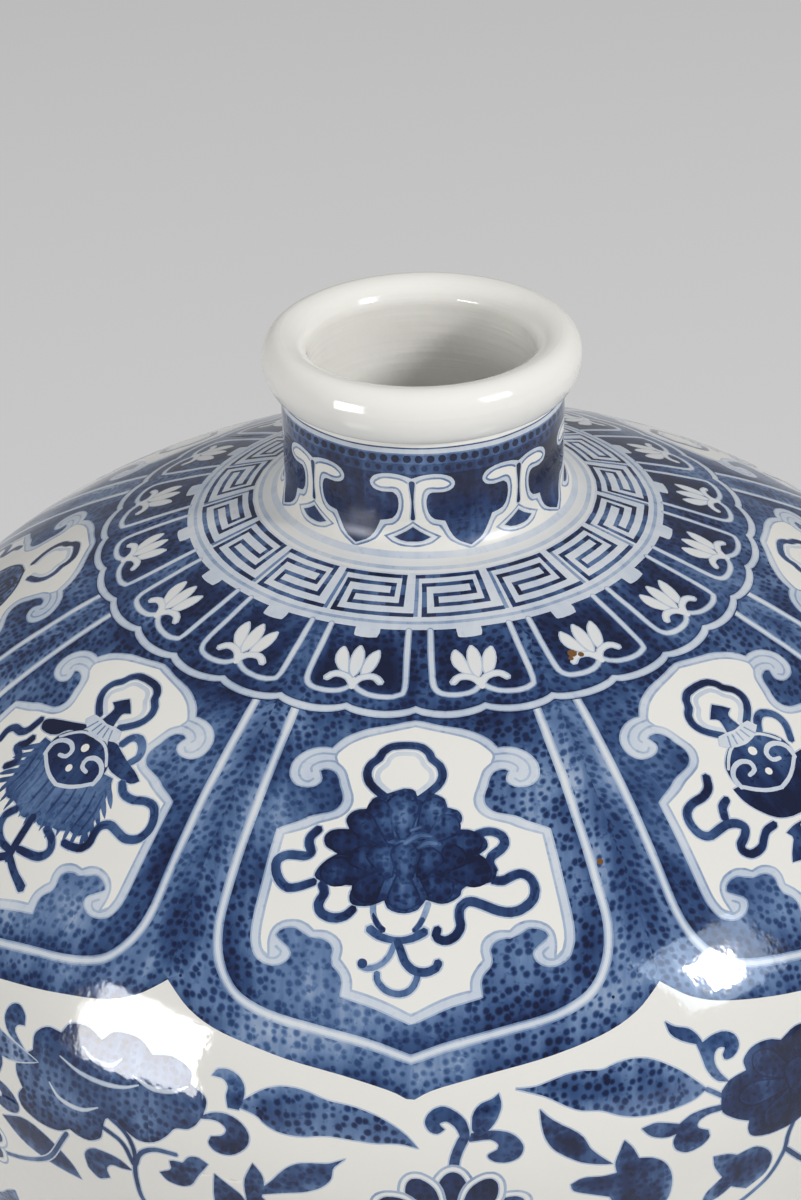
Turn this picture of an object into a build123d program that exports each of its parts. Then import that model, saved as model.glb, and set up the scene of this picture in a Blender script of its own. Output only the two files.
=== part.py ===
"""Meiping: a high-shouldered porcelain vase with a short neck and a rolled lip.

The vessel is thrown on the wheel in five sections, which are luted together with slip.
Each section and each ring of slip is its own solid. Sizes are in millimetres and
degrees, +Z is up, and the origin is the middle of the foot, on the surface below it.
"""

import math
import os

from build123d import *

# Rolled lip and neck
total_height = 360.0
lip_radius = 30.0
lip_crown_radius = 26.4
lip_rise = 4.5
lip_drop = 6.0
bore_radius = 21.5
neck_radius = 26.8
neck_height = 27.5

# Shoulder, from the root of the neck to the widest girth
shoulder_slope = 17.0
shoulder_reach = 49.0
shoulder_curl = 41.0
shoulder_depth = 101.0
belly_radius = 118.5
root_fillet = 5.0
inner_root_fillet = 8.0

# Taper from the widest girth to the waist above the foot
belly_curl = 68.0
waist_curl = 80.0
waist_radius = 62.5
waist_height = 30.0

# Foot ring and base
foot_radius = 66.0
foot_height = 7.0
foot_flare = 12.0
foot_bevel = 2.5
rest_width = 7.0
recess_depth = 8.0
recess_draft = 2.0
recess_fillet = 3.0
base_thickness = 9.5
base_fillet = 9.0

# Wall thickness
shoulder_wall = 6.0
belly_wall = 6.5
waist_wall = 9.0

# Seams between the thrown sections, and the slip in them
neck_seam_rise = 5.0
body_seam_height = 150.0
slip_thickness = 1.0
slip_cover = 1.8
ridge_depth = 1.6
ridge_height = 6.0

# Heights and directions that follow from the sizes above
lip_height = total_height - lip_rise
root_height = lip_height - neck_height
belly_height = lip_height - shoulder_depth
base_height = recess_depth + base_thickness
rest_outer_radius = foot_radius - foot_bevel
rest_inner_radius = rest_outer_radius - rest_width
up = Vector(0, 1)
outward = Vector(math.cos(math.radians(shoulder_slope)), -math.sin(math.radians(shoulder_slope)))


def root_arc(corner, radius):
    """Draw the hollow corner where the upright neck turns out into the shoulder."""
    turn = 90 - shoulder_slope
    setback = radius * math.tan(math.radians(turn / 2))
    return JernArc(corner + up * setback, -up, radius, turn)


# The wall of the whole vessel: radius across, height up, turned about the vertical axis
with BuildSketch(Plane.XZ) as wall:
    with BuildLine():
        # Outside, from the crown of the lip down to the foot
        lip_crown = Vector(lip_crown_radius, lip_height)
        lip_root = Vector(neck_radius, lip_height)
        EllipticalCenterArc(lip_crown, lip_radius - lip_crown_radius, lip_rise, 0, arc_size=90)
        EllipticalCenterArc(lip_root, lip_radius - neck_radius, lip_drop, -90, arc_size=90)
        outer_corner = Vector(neck_radius, root_height)
        outer_root = root_arc(outer_corner, root_fillet)
        Line(lip_root - up * lip_drop, outer_root @ 0)
        widest = Vector(belly_radius, belly_height)
        Bezier(outer_root @ 1, outer_corner + outward * shoulder_reach, widest + up * shoulder_curl, widest)
        waist = Vector(waist_radius, waist_height)
        Bezier(widest, widest - up * belly_curl, waist + up * waist_curl, waist)
        foot_edge = Vector(foot_radius, foot_height)
        Bezier(waist, waist - up * foot_flare, foot_edge + up * foot_flare / 2, foot_edge)
        bevel = Line(foot_edge, (foot_radius, foot_bevel))
        Line(bevel @ 1, (rest_outer_radius, 0))
        # Underside, from the resting ring to the middle of the base
        Line((rest_outer_radius, 0), (rest_inner_radius, 0))
        recess_edge = Vector(rest_inner_radius - recess_draft, recess_depth)
        FilletPolyline((rest_inner_radius, 0), recess_edge, (0, recess_depth), radius=recess_fillet)
        Line((0, recess_depth), (0, base_height))
        # Inside, from the base up to the crown of the lip
        inner_waist = waist - Vector(waist_wall, 0)
        FilletPolyline((0, base_height), (inner_waist.X, base_height), inner_waist, radius=base_fillet)
        inner_widest = widest - Vector(belly_wall, 0)
        inner_curl = belly_curl - belly_wall
        Bezier(inner_waist, inner_waist + up * waist_curl, inner_widest - up * inner_curl, inner_widest)
        wall_drop = shoulder_wall / math.cos(math.radians(shoulder_slope))
        bore_offset = (neck_radius - bore_radius) * math.tan(math.radians(shoulder_slope))
        inner_corner = Vector(bore_radius, root_height + bore_offset - wall_drop)
        inner_root = root_arc(inner_corner, inner_root_fillet)
        shoulder_start = inner_corner + outward * shoulder_reach
        Bezier(
            inner_widest, inner_widest + up * (shoulder_curl - belly_wall), shoulder_start, inner_root @ 1
        )
        Line(inner_root @ 0, (bore_radius, lip_height))
        EllipticalCenterArc(lip_crown, lip_crown_radius - bore_radius, lip_rise, 90, arc_size=90)
    make_face()

# Heights where one thrown section is luted to the next
seams = {
    "neck_slip": root_height + neck_seam_rise,
    "belly_slip": belly_height,
    "body_slip": body_seam_height,
    "foot_slip": waist_height,
}


def wall_at(height):
    """Find the inner and the outer radius of the wall at a height."""
    level = Edge.make_line((0, height), (2 * belly_radius, height))
    span = level.intersect(wall.sketch_local).vertices().sort_by(Axis.X)
    return span[0].X, span[-1].X


def slip_slot(height, mode):
    """Draw the slot across a seam that holds the slip, short of the outer face."""
    slot_radius = wall_at(height)[1] - slip_cover
    with Locations((slot_radius / 2, height)):
        Rectangle(slot_radius, slip_thickness, mode=mode)


def thrown_section(low, high):
    """Draw the wall between two heights, with its half of the slip slot at each seam."""
    add(wall)
    with Locations((belly_radius / 2, (low + high) / 2)):
        Rectangle(2 * belly_radius, high - low, mode=Mode.INTERSECT)
    for seam_height in seams.values():
        if low <= seam_height <= high:
            slip_slot(seam_height, Mode.SUBTRACT)


# Neck with its rolled lip
with BuildPart() as neck:
    with BuildSketch(Plane.XZ):
        thrown_section(seams["neck_slip"], total_height)
    revolve(axis=Axis.Z)
neck.part.label = "neck"

# Shoulder, with the low collar that carries the neck
with BuildPart() as shoulder:
    with BuildSketch(Plane.XZ):
        thrown_section(seams["belly_slip"], seams["neck_slip"])
    revolve(axis=Axis.Z)
shoulder.part.label = "shoulder"

# Belly, below the widest girth
with BuildPart() as belly:
    with BuildSketch(Plane.XZ):
        thrown_section(seams["body_slip"], seams["belly_slip"])
    revolve(axis=Axis.Z)
belly.part.label = "belly"

# Lower body, tapering to the waist
with BuildPart() as lower_body:
    with BuildSketch(Plane.XZ):
        thrown_section(seams["foot_slip"], seams["body_slip"])
    revolve(axis=Axis.Z)
lower_body.part.label = "lower_body"

# Foot, with its turned ring and recessed base
with BuildPart() as foot:
    with BuildSketch(Plane.XZ):
        thrown_section(0, seams["foot_slip"])
    revolve(axis=Axis.Z)
foot.part.label = "foot"

os.makedirs("parts", exist_ok=True)
for section in (neck, shoulder, belly, lower_body, foot):
    export_step(section.part, f"parts/{section.part.label}.step")

# Slip that fills each seam, with the ridge that it leaves inside, wiped off in the neck
for name, seam_height in seams.items():
    with BuildPart() as slip:
        with BuildSketch(Plane.XZ):
            add(wall)
            slip_slot(seam_height, Mode.INTERSECT)
        revolve(axis=Axis.Z)
        if name != "neck_slip":
            with BuildSketch(Plane.XZ):
                with Locations((wall_at(seam_height)[0], seam_height)):
                    Ellipse(ridge_depth, ridge_height / 2)
                add(wall, mode=Mode.SUBTRACT)
            revolve(axis=Axis.Z)
    slip.part.label = name
    export_step(slip.part, f"parts/{name}.step")
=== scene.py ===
"""Blender scene of the meiping vase: the turned sections, painted in underglaze cobalt blue.

The decoration is drawn as outlines on a chart of the outer wall. A place on the chart is a pair: the turn
round the vase in degrees, from the middle of the front panel, and the distance in millimetres down the wall
from the crown of the lip. Each section is a mesh in which these outlines are edges, so every line of the
brush is as sharp as the mesh, and the glaze reads the cobalt from the faces.
"""

import math
from collections import namedtuple

import bpy
import numpy as np
from mathutils import Matrix, Vector, geometry, kdtree, noise


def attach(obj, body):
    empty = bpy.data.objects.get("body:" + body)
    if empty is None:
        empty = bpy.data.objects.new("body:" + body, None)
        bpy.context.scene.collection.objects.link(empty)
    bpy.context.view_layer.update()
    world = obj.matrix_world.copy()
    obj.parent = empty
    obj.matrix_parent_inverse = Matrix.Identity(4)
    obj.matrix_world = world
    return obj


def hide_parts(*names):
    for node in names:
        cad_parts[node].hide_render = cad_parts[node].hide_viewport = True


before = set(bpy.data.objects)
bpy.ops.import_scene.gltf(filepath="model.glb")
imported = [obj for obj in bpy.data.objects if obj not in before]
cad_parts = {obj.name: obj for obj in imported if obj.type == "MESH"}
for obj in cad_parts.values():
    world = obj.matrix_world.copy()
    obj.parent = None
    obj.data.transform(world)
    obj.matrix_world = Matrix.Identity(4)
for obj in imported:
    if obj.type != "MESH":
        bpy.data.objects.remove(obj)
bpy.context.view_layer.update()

MM = 0.001

# Profile of the wall, in millimetres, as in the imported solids
total_height = 360
lip_radius = 30
lip_crown_radius = 26.4
lip_rise = 4.5
lip_drop = 6
bore_radius = 21.5
neck_radius = 26.8
neck_height = 27.5
shoulder_slope = math.radians(17)
shoulder_reach = 49
shoulder_curl = 41
shoulder_depth = 101
belly_radius = 118.5
root_fillet = 5
inner_root_fillet = 8
belly_curl = 68
waist_curl = 80
waist_radius = 62.5
waist_height = 30
foot_radius = 66
foot_height = 7
foot_flare = 12
foot_bevel = 2.5
rest_width = 7
recess_depth = 8
recess_draft = 2
recess_fillet = 3
base_thickness = 9.5
base_fillet = 9
shoulder_wall = 6
belly_wall = 6.5
waist_wall = 9
neck_seam_rise = 5
body_seam_height = 150
slip_thickness = 1
slip_cover = 1.8
ridge_depth = 1.6
ridge_height = 6

lip_height = total_height - lip_rise
root_height = lip_height - neck_height
belly_height = lip_height - shoulder_depth
base_height = recess_depth + base_thickness
half_slip = slip_thickness / 2

# Chart of the decoration: the sectors of its pattern, and the turn that brings a panel to the front
sectors = 8
sector_turn = 360 / sectors
sector_shift = 9.7
panel_turn = -2.21

# Outlines: their steps and the places that are kept of them, in millimetres and radians
ring_steps = 288
outline_step = 0.35
outline_slack = 0.04
longest_step = 4.5
sharp_bend = 0.5
fewest_places = 5
least_step = 1e-6
tiny = 1e-9

# Meshes: room beside the outlines, turn of the wall in a row of faces, and what is joined
clearance = 1.1
row_bend = 0.16
weld = 1e-3
join_slack = 1e-4

# Map for baking: its margin, the rows of the outer wall and the strip of the rest
bake_edge = 0.01
bake_width = 1 - 2 * bake_edge
bake_row = 0.38
bake_upper_row = 0.41
bake_strip = 0.81

# Wander of the painter's hand
hand_wander = 0.16
hand_scale = 0.11
hand_seed = 7


def place(*pair):
    return np.array(pair, float)


def unit(vector):
    return vector / np.linalg.norm(vector)


def bezier(start, first, second, end, count=160):
    t = np.linspace(0, 1, count)[:, None]
    u = 1 - t
    return u**3 * start + 3 * u * u * t * first + 3 * u * t * t * second + t**3 * end


def ellipse(centre, across, high, start, end, count=18):
    angle = np.radians(np.linspace(start, end, count))
    return np.column_stack((centre[0] + across * np.cos(angle), centre[1] + high * np.sin(angle)))


def fillet(before, corner, after, radius, count=14):
    """Arc that rounds the corner between two straight runs."""
    back = unit(before - corner)
    ahead = unit(after - corner)
    half = math.acos(np.clip(back @ ahead, -1, 1)) / 2
    centre = corner + unit(back + ahead) * radius / math.sin(half)
    first = corner + back * radius / math.tan(half) - centre
    last = corner + ahead * radius / math.tan(half) - centre
    t = np.linspace(0, 1, count)[:, None]
    chord = first * (1 - t) + last * t
    return centre + chord / np.linalg.norm(chord, axis=1)[:, None] * radius


def lengths_along(points):
    steps = np.linalg.norm(np.diff(points, axis=0), axis=1)
    return np.concatenate(([0], np.cumsum(steps)))


class Path:
    """Smooth runs, one after the other, in the plane of radius and height."""

    def __init__(self, *runs):
        self.runs = [np.asarray(run, float) for run in runs]
        self.points = np.vstack(self.runs)
        self.far = lengths_along(self.points)

    def distance(self, height):
        """Distance along the path at a height."""
        order = 1 if self.points[-1, 1] > self.points[0, 1] else -1
        return float(np.interp(order * height, order * self.points[:, 1], self.far))

    def radius(self, distance):
        return np.interp(distance, self.far, self.points[:, 0])

    def at_height(self, height):
        return place(self.radius(self.distance(height)), height)

    def cut(self, start, end):
        """The runs between two distances, each with the distance at which it starts."""
        pieces = []
        begin = 0.0
        for run in self.runs:
            far = begin + lengths_along(run)
            low = max(start, far[0])
            high = min(end, far[-1])
            if high - low > least_step:
                inside = (far > low + least_step) & (far < high - least_step)
                stops = np.concatenate(([low], far[inside], [high]))
                points = np.column_stack([np.interp(stops, far, run[:, axis]) for axis in (0, 1)])
                pieces.append((points, low))
            begin = far[-1]
        return pieces


outward = place(math.cos(shoulder_slope), -math.sin(shoulder_slope))
arm = 20
root_corner = place(neck_radius, root_height)
root_arc = fillet(root_corner + (0, arm), root_corner, root_corner + outward * arm, root_fillet)
rest_outer = foot_radius - foot_bevel
rest_inner = rest_outer - rest_width
outer_wall = Path(
    ellipse((lip_crown_radius, lip_height), lip_radius - lip_crown_radius, lip_rise, 90, 0),
    ellipse((neck_radius, lip_height), lip_radius - neck_radius, lip_drop, 0, -90),
    [(neck_radius, lip_height - lip_drop), root_arc[0]],
    root_arc,
    bezier(
        root_arc[-1],
        root_corner + outward * shoulder_reach,
        place(belly_radius, belly_height + shoulder_curl),
        place(belly_radius, belly_height),
    ),
    bezier(
        place(belly_radius, belly_height),
        place(belly_radius, belly_height - belly_curl),
        place(waist_radius, waist_height + waist_curl),
        place(waist_radius, waist_height),
    ),
    bezier(
        place(waist_radius, waist_height),
        place(waist_radius, waist_height - foot_flare),
        place(foot_radius, foot_height + foot_flare / 2),
        place(foot_radius, foot_height),
        24,
    ),
    [(foot_radius, foot_height), (foot_radius, foot_bevel)],
    [(foot_radius, foot_bevel), (rest_outer, 0)],
)

recess_corner = place(rest_inner - recess_draft, recess_depth)
recess_arc = fillet(place(rest_inner, 0), recess_corner, place(0, recess_depth), recess_fillet)
underside = Path(
    [(rest_outer, 0), (rest_inner, 0)],
    [(rest_inner, 0), recess_arc[0]],
    recess_arc,
    [recess_arc[-1], (0, recess_depth)],
)

inner_waist = waist_radius - waist_wall
inner_belly = belly_radius - belly_wall
base_corner = place(inner_waist, base_height)
base_arc = fillet(place(0, base_height), base_corner, base_corner + (0, arm), base_fillet)
inner_corner = place(
    bore_radius,
    root_height + (neck_radius - bore_radius) * math.tan(shoulder_slope)
    - shoulder_wall / math.cos(shoulder_slope),
)
inner_arc = fillet(inner_corner + outward * arm, inner_corner, inner_corner + (0, arm), inner_root_fillet)
inner_wall = Path(
    [(0, base_height), base_arc[0]],
    base_arc,
    [base_arc[-1], (inner_waist, waist_height)],
    bezier(
        place(inner_waist, waist_height),
        place(inner_waist, waist_height + waist_curl),
        place(inner_belly, belly_height - belly_curl + belly_wall),
        place(inner_belly, belly_height),
    ),
    bezier(
        place(inner_belly, belly_height),
        place(inner_belly, belly_height + shoulder_curl - belly_wall),
        inner_corner + outward * shoulder_reach,
        inner_arc[0],
    ),
    inner_arc,
    [inner_arc[-1], (bore_radius, lip_height)],
    ellipse((lip_crown_radius, lip_height), lip_crown_radius - bore_radius, lip_rise, 180, 90),
)

seams = {
    "neck": root_height + neck_seam_rise,
    "belly": belly_height,
    "body": body_seam_height,
    "foot": waist_height,
}

# Cobalt: strength at the edge and in the heart of a mark, the millimetres between them, and its dots
Paint = namedtuple("Paint", "edge heart depth dots iron", defaults=(0.0, 0.0))


def wash(strength, dots=0.0):
    return Paint(strength, strength, 0.0, dots)


WHITE = wash(0.0)
MIST = wash(0.16)
BAND = wash(0.15)
FRINGE = wash(0.20)
PALE = wash(0.27)
LINE = wash(0.42)
MID = wash(0.62)
DARK = wash(0.84)
INK = wash(0.97)
MID_DOTTED = wash(0.62, 0.7)
DARK_DOTTED = wash(0.78, 0.6)
GROUND = Paint(0.69, 0.57, 4.0, 0.85)
THIN = Paint(0.60, 0.46, 4.0, 0.9)
BORDER = Paint(0.59, 0.41, 3.4, 0.9)
DEEP = Paint(0.70, 0.84, 3.0, 0.7)
STRIP = Paint(0.46, 0.58, 2.2, 0.8)
LEAF = Paint(0.44, 0.58, 2.4, 1.1)
SPRIG = Paint(0.60, 0.84, 1.5, 0.5)
PETAL = Paint(0.72, 0.58, 2.4, 0.9)
NIGHT = Paint(0.76, 0.88, 2.0, 0.3)
DEEP_BLOOM = Paint(0.82, 0.68, 1.6, 0.5)
BRUSHED = Paint(0.62, 0.50, 1.5, 0.2)
RUST = Paint(0.30, 0.30, 0.0, 0.0, 1.0)

fringe_width = 0.28


def degree(distance):
    """Millimetres in one degree of turn at a distance down the wall."""
    return outer_wall.radius(distance) * math.pi / 180


def metric_steps(line):
    """Lengths in millimetres of the steps along a line on the chart."""
    step = np.diff(line, axis=0)
    scale = degree((line[1:, 1] + line[:-1, 1]) / 2)
    return np.hypot(step[:, 0] * scale, step[:, 1])


def spline(points):
    """Smooth line through the given places."""
    points = np.asarray(points, float)
    if len(points) < 3:
        return points
    first = 2 * points[0] - points[1]
    last = 2 * points[-1] - points[-2]
    padded = np.vstack((first, points, last))
    line = [points[:1]]
    for before, start, end, after in zip(padded, padded[1:], padded[2:], padded[3:]):
        count = max(2, math.ceil(metric_steps(np.array((start, end)))[0] / outline_step))
        t = (np.arange(count) + 1)[:, None] / count
        line.append(0.5 * (
            2 * start + (end - before) * t
            + (2 * before - 5 * start + 4 * end - after) * t**2
            + (3 * start - before - 3 * end + after) * t**3
        ))
    return np.vstack(line)


def curve(*arcs):
    """Smooth arcs joined at cusps: each further arc starts where the last one ends."""
    line = spline(arcs[0])
    for arc in arcs[1:]:
        line = np.vstack((line, spline([line[-1], *arc])[1:]))
    return line


def mirrored(half):
    """Closed outline from its right half, from top to bottom on the line of symmetry."""
    return np.vstack((half, half[::-1] * (-1, 1)))


def subdivided(outline):
    """Closed outline with short steps along its straight sides."""
    ring_line = np.vstack((outline, outline[:1]))
    counts = np.maximum(1, np.ceil(metric_steps(ring_line) / (2 * outline_step))).astype(int)
    side = np.repeat(np.arange(len(outline)), counts)
    share = np.concatenate([np.arange(count) / count for count in counts])[:, None]
    return ring_line[side] * (1 - share) + ring_line[side + 1] * share


def thinned(outline):
    """Closed outline with only the places that its bends need."""
    scale = np.column_stack((degree(outline[:, 1]), np.ones(len(outline))))
    ahead = (np.roll(outline, -1, axis=0) - outline) * scale
    behind = np.roll(ahead, 1, axis=0)
    step = np.hypot(*ahead.T)
    swerve = behind[:, 0] * ahead[:, 1] - behind[:, 1] * ahead[:, 0]
    bend = np.abs(np.arctan2(swerve, (behind * ahead).sum(axis=1)))
    tightness = bend / np.maximum((step + np.roll(step, 1)) / 2, least_step)
    need = step * (np.sqrt(tightness / (8 * outline_slack)) + 1 / longest_step)
    count = np.floor(np.concatenate(([0], np.cumsum(need)[:-1])))
    kept = (count != np.roll(count, 1)) | (bend > sharp_bend)
    return outline[kept] if kept.sum() > fewest_places else outline


def fill(paint, outline):
    return [(thinned(subdivided(np.asarray(outline, float))), paint)]


def sideways(line, closed=False):
    """Unit normals of a line on the chart, in millimetres, and the scale at each place."""
    scale = degree(line[:, 1])
    if closed:
        along = np.roll(line, -1, axis=0) - np.roll(line, 1, axis=0)
    else:
        along = np.gradient(line, axis=0)
    along = np.column_stack((along[:, 0] * scale, along[:, 1]))
    along /= np.maximum(np.linalg.norm(along, axis=1), tiny)[:, None]
    return np.column_stack((along[:, 1], -along[:, 0])), along, scale


def stroke(paint, width, line, taper=(1, 1)):
    """Mark of the brush along a line: its width, and the share of it at the two ends."""
    line = np.asarray(line, float)
    far = np.concatenate(([0], np.cumsum(metric_steps(line))))
    normal, along, scale = sideways(line)
    t = far / far[-1]
    swell = np.sin(np.pi * t)
    half = width / 2 * (swell + (1 - swell) * (taper[0] * (1 - t) + taper[1] * t))
    offset = normal * half[:, None] / np.column_stack((scale, np.ones_like(scale)))
    caps = []
    for end, way in ((-1, 1), (0, -1)):
        turn = np.radians(np.linspace(60, -60, 3))[:, None] * way
        radial = np.cos(turn) * along[end] * way + np.sin(turn) * normal[end]
        caps.append(line[end] + radial * half[end] / (scale[end], 1))
    outline = np.vstack((line + offset, caps[0], (line - offset)[::-1], caps[1]))
    return fill(paint, outline)


def loop(paint, width, outline):
    """Mark of the brush round a closed outline."""
    outline = np.vstack((outline, outline[:2]))
    return stroke(paint, width, outline)


def inset(outline, depth):
    """Outline moved inwards, without the loops that this makes in its hollows."""
    normal, _, scale = sideways(outline, closed=True)
    area = np.sum(outline[:, 0] * np.roll(outline[:, 1], -1) - np.roll(outline[:, 0], -1) * outline[:, 1])
    moved = outline - normal * depth * np.sign(area) / np.column_stack((scale, np.ones_like(scale)))
    gap = moved[:, None, :] - outline[None, :, :]
    near = np.hypot(gap[..., 0] * scale[:, None], gap[..., 1]).min(axis=1)
    return moved[near > 0.9 * depth]


def ring(paint, top, bottom):
    """Band all the way round the wall."""
    turns = np.linspace(0, sector_turn, ring_steps // sectors + 1)
    upper = np.column_stack((turns, np.full_like(turns, top)))
    lower = np.column_stack((turns[::-1], np.full_like(turns, bottom)))
    return repeated([(np.vstack((upper, lower)), paint)], sectors)


def dot(paint, turn, down, radius, count=9):
    angle = np.arange(count) * 2 * np.pi / count
    across = radius * np.cos(angle) / degree(down)
    return [(np.column_stack((turn + across, down + radius * np.sin(angle))), paint)]


def bars(paint, width, corners):
    """Straight marks with square ends from corner to corner."""
    marks = []
    for start, end in zip(corners, corners[1:]):
        high = width / 2
        wide = high / degree((start[1] + end[1]) / 2)
        left, right = sorted((start[0], end[0]))
        top, bottom = sorted((start[1], end[1]))
        box = [(left - wide, top - high), (right + wide, top - high),
               (right + wide, bottom + high), (left - wide, bottom + high)]
        marks += fill(paint, box)
    return marks


def moved(marks, turn=0.0, down=0.0):
    return [(outline + (turn, down), paint) for outline, paint in marks]


def flipped(marks):
    return [(outline * (-1, 1), paint) for outline, paint in marks]


def both(marks):
    """Marks on the right side and the same on the left."""
    return marks + flipped(marks)


def repeated(marks, count, start=0.0):
    return [mark for step in range(count) for mark in moved(marks, start + step * 360 / count)]


def soft(paint, outline):
    """Filled outline in the pale fringe that the glaze draws out of the cobalt."""
    return fill(FRINGE, inset(outline, -fringe_width)) + fill(paint, outline)


def soft_stroke(paint, width, line, taper=(1, 1)):
    return stroke(FRINGE, width + 2 * fringe_width, line, taper) + stroke(paint, width, line, taper)


def fringes_first(marks):
    """The same marks with every fringe under all of them, so that marks that touch run together."""
    fringes = [mark for mark in marks if mark[1] is FRINGE]
    return fringes + [mark for mark in marks if mark[1] is not FRINGE]


def ruyi_stem():
    """White stem with curled head between two lappets of the neck, and the triangle at its foot."""
    edge = curve(
        [(0, 20.9), (3.5, 20.3), (8, 20), (12, 20.2), (15.4, 20.9), (16.9, 22.2), (15.6, 23.4),
         (12.2, 23.9), (8.9, 23.8), (6.9, 24), (5.7, 25), (5.5, 26.4), (6.2, 28), (8, 29.2), (10.6, 29.6),
         (12.8, 29.8)],
        [(13.8, 31), (15.5, 32.6), (18, 33.9), (22.5, 35)],
    )
    line = curve([
        (1.2, 22), (4, 21.2), (8, 20.9), (11.4, 21), (14, 21.6), (15.2, 22.3), (13.8, 22.9), (11, 23.1),
        (8, 22.9), (5.7, 23.1), (4.3, 24.2), (3.9, 25.8), (4.3, 27.6), (5.7, 29.4), (8, 30.4), (11, 30.8),
        (13, 32.4), (15.6, 33.9), (22.5, 35.6),
    ])
    side = curve([(1.4, 29.2), (0.9, 27), (0.8, 24.6)])
    heart = np.vstack((line, [(22.5, 36.2), (0, 36.2), (0, 29.8)], side))
    slit = curve([(0, 21.4), (1.2, 21.8), (0.7, 24), (0.4, 26.4), (0.9, 29.2), (0, 29.5)])
    foot = mirrored(curve(
        [(0, 29.7), (3, 30.8), (7, 31.9), (11.4, 32.9)], [(8, 34.1), (4, 34.7), (0, 34.9)],
    ))
    core = curve([(0, 30.9), (3.2, 32), (7.2, 33)], [(4, 33.7), (0, 33.9)])
    marks = fill(wash(0.17), mirrored(np.vstack((edge, [(22.5, 36)]))))
    marks += both(fill(wash(0.03), heart)) + both(stroke(LINE, 0.4, line))
    marks += soft(DARK, mirrored(slit)) + fill(LINE, foot) + fill(wash(0.11), inset(foot, 0.35))
    marks += soft(DARK, mirrored(core))
    return marks


def neck_band():
    """Fine rings and beads, and the dark band of the neck with its white stems."""
    marks = ring(wash(0.58), 14.7, 15.0) + ring(wash(0.15), 15.0, 15.9) + ring(LINE, 15.9, 16.2)
    marks += ring(wash(0.56), 16.2, 18) + ring(wash(0.68), 18, 20) + ring(wash(0.84, 0.3), 20, 35.4)
    marks += repeated(dot(INK, 0, 17.0, 0.76), 80)
    marks += repeated(dot(wash(0.9), 2.2, 18.9, 0.6), 80)
    marks += repeated(ruyi_stem(), sectors, -2.8)
    marks += ring(wash(0.07), 35.6, 41) + ring(wash(0.17), 35.7, 37.1) + ring(wash(0.21), 38.9, 39.8)
    return marks


def key_fret(top, count):
    """Row of square spirals, with the heavier ends of their strokes."""
    wide = 16 / count

    def corners(*pairs):
        return [(turn * wide, top + down) for turn, down in pairs]

    path = corners(
        (0.9, 0), (19.4, 0), (19.4, 7.1), (5.9, 7.1), (5.9, 4.7), (16.6, 4.7), (16.6, 2.1), (2.8, 2.1),
        (2.8, 9.5), (22.1, 9.5),
    )
    marks = bars(wash(0.46), 0.7, corners((0.7, 9.5), (0.7, 0))) + bars(wash(0.64), 0.92, path)
    for accent in (
        [(8.5, 0), (17.5, 0)], [(0.9, 0), (2.4, 0)], [(19.4, 5), (19.4, 7.1), (16, 7.1)],
        [(19.4, 0), (19.4, 1.6)], [(13.4, 4.7), (16.6, 4.7), (16.6, 3.9)], [(5.9, 7.1), (5.9, 5.4)],
        [(5.4, 2.1), (2.8, 2.1), (2.8, 3.4)], [(14.6, 2.1), (16.6, 2.1)], [(2.8, 8), (2.8, 9.5), (5, 9.5)],
        [(17.5, 9.5), (22.1, 9.5)],
    ):
        marks += bars(wash(0.92), 0.86, corners(*accent))
    return ring(wash(0.15), top - 0.9, top + 10.6) + repeated(marks, count, -1.4)


def small_lappet():
    """Lotus in a pale frame, hung from the double ring."""
    frame_line = curve(
        [(-8.5, 54.5), (-8.5, 61), (-8.4, 66.4), (-7.7, 68.3), (-6.2, 69.1), (-3.8, 69.3), (-1.5, 68.8),
         (0.2, 67.3)],
        [(1.4, 68.5), (3.4, 69.4), (6.2, 69.7), (8.3, 69.2), (9.2, 67.8), (9.3, 61), (9.3, 54.5)],
    )
    tab = curve(
        [(-2.7, 54.2), (-2.7, 55.6)], [(-2.3, 56.4), (0, 56.6), (2.5, 56.4)], [(2.9, 55.6), (2.9, 54.2)],
    )
    petals = (
        curve([(-0.4, 58.7), (0.6, 59.8), (1.1, 61.6), (1, 63.4), (0.4, 65), (-0.2, 65.8)],
              [(-1.1, 64.8), (-1.6, 63), (-1.6, 61.2), (-1.2, 59.7), (-0.4, 58.7)]),
        curve([(-4.3, 59.4), (-3.2, 60.4), (-2.4, 62), (-1.9, 63.6), (-1.5, 65.1)],
              [(-3, 64.6), (-4.5, 63.3), (-5.2, 61.8), (-5, 60.3), (-4.3, 59.4)]),
        curve([(4.3, 59.4), (4.6, 60.8), (4.2, 62.6), (3.2, 64.3), (1.4, 65.2)],
              [(1.3, 63.8), (1.8, 61.8), (2.8, 60.3), (4.3, 59.4)]),
    )
    leaf_line = curve([(0.2, 67.2), (1, 66), (2.5, 65.4), (3.9, 65.6), (4.8, 66.5)])
    marks = fill(DEEP, np.vstack((frame_line, [(9.3, 54.5)])))
    marks += stroke(wash(0.34), 1.25, frame_line) + stroke(BAND, 0.8, frame_line) + fill(MIST, tab)
    for outline in petals:
        marks += soft(wash(0.06), outline * (0.86, 1))
    marks += both(stroke(FRINGE, 1.5, leaf_line) + stroke(wash(0.07), 1.0, leaf_line, taper=(1, 0.7)))
    marks += stroke(wash(0.07), 1.1, [(0.1, 66.4), (0.1, 67.2), (0.1, 68)])
    return marks


def lotus_band():
    """Double ring with the row of lotus lappets below it."""
    marks = ring(BAND, 51.6, 52.4) + ring(wash(0.31), 52.4, 53.1) + ring(MIST, 53.1, 54.4)
    marks += ring(GROUND, 54.4, 73)
    marks += repeated(small_lappet(), 2 * sectors, sector_turn / 4)
    return marks


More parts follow.
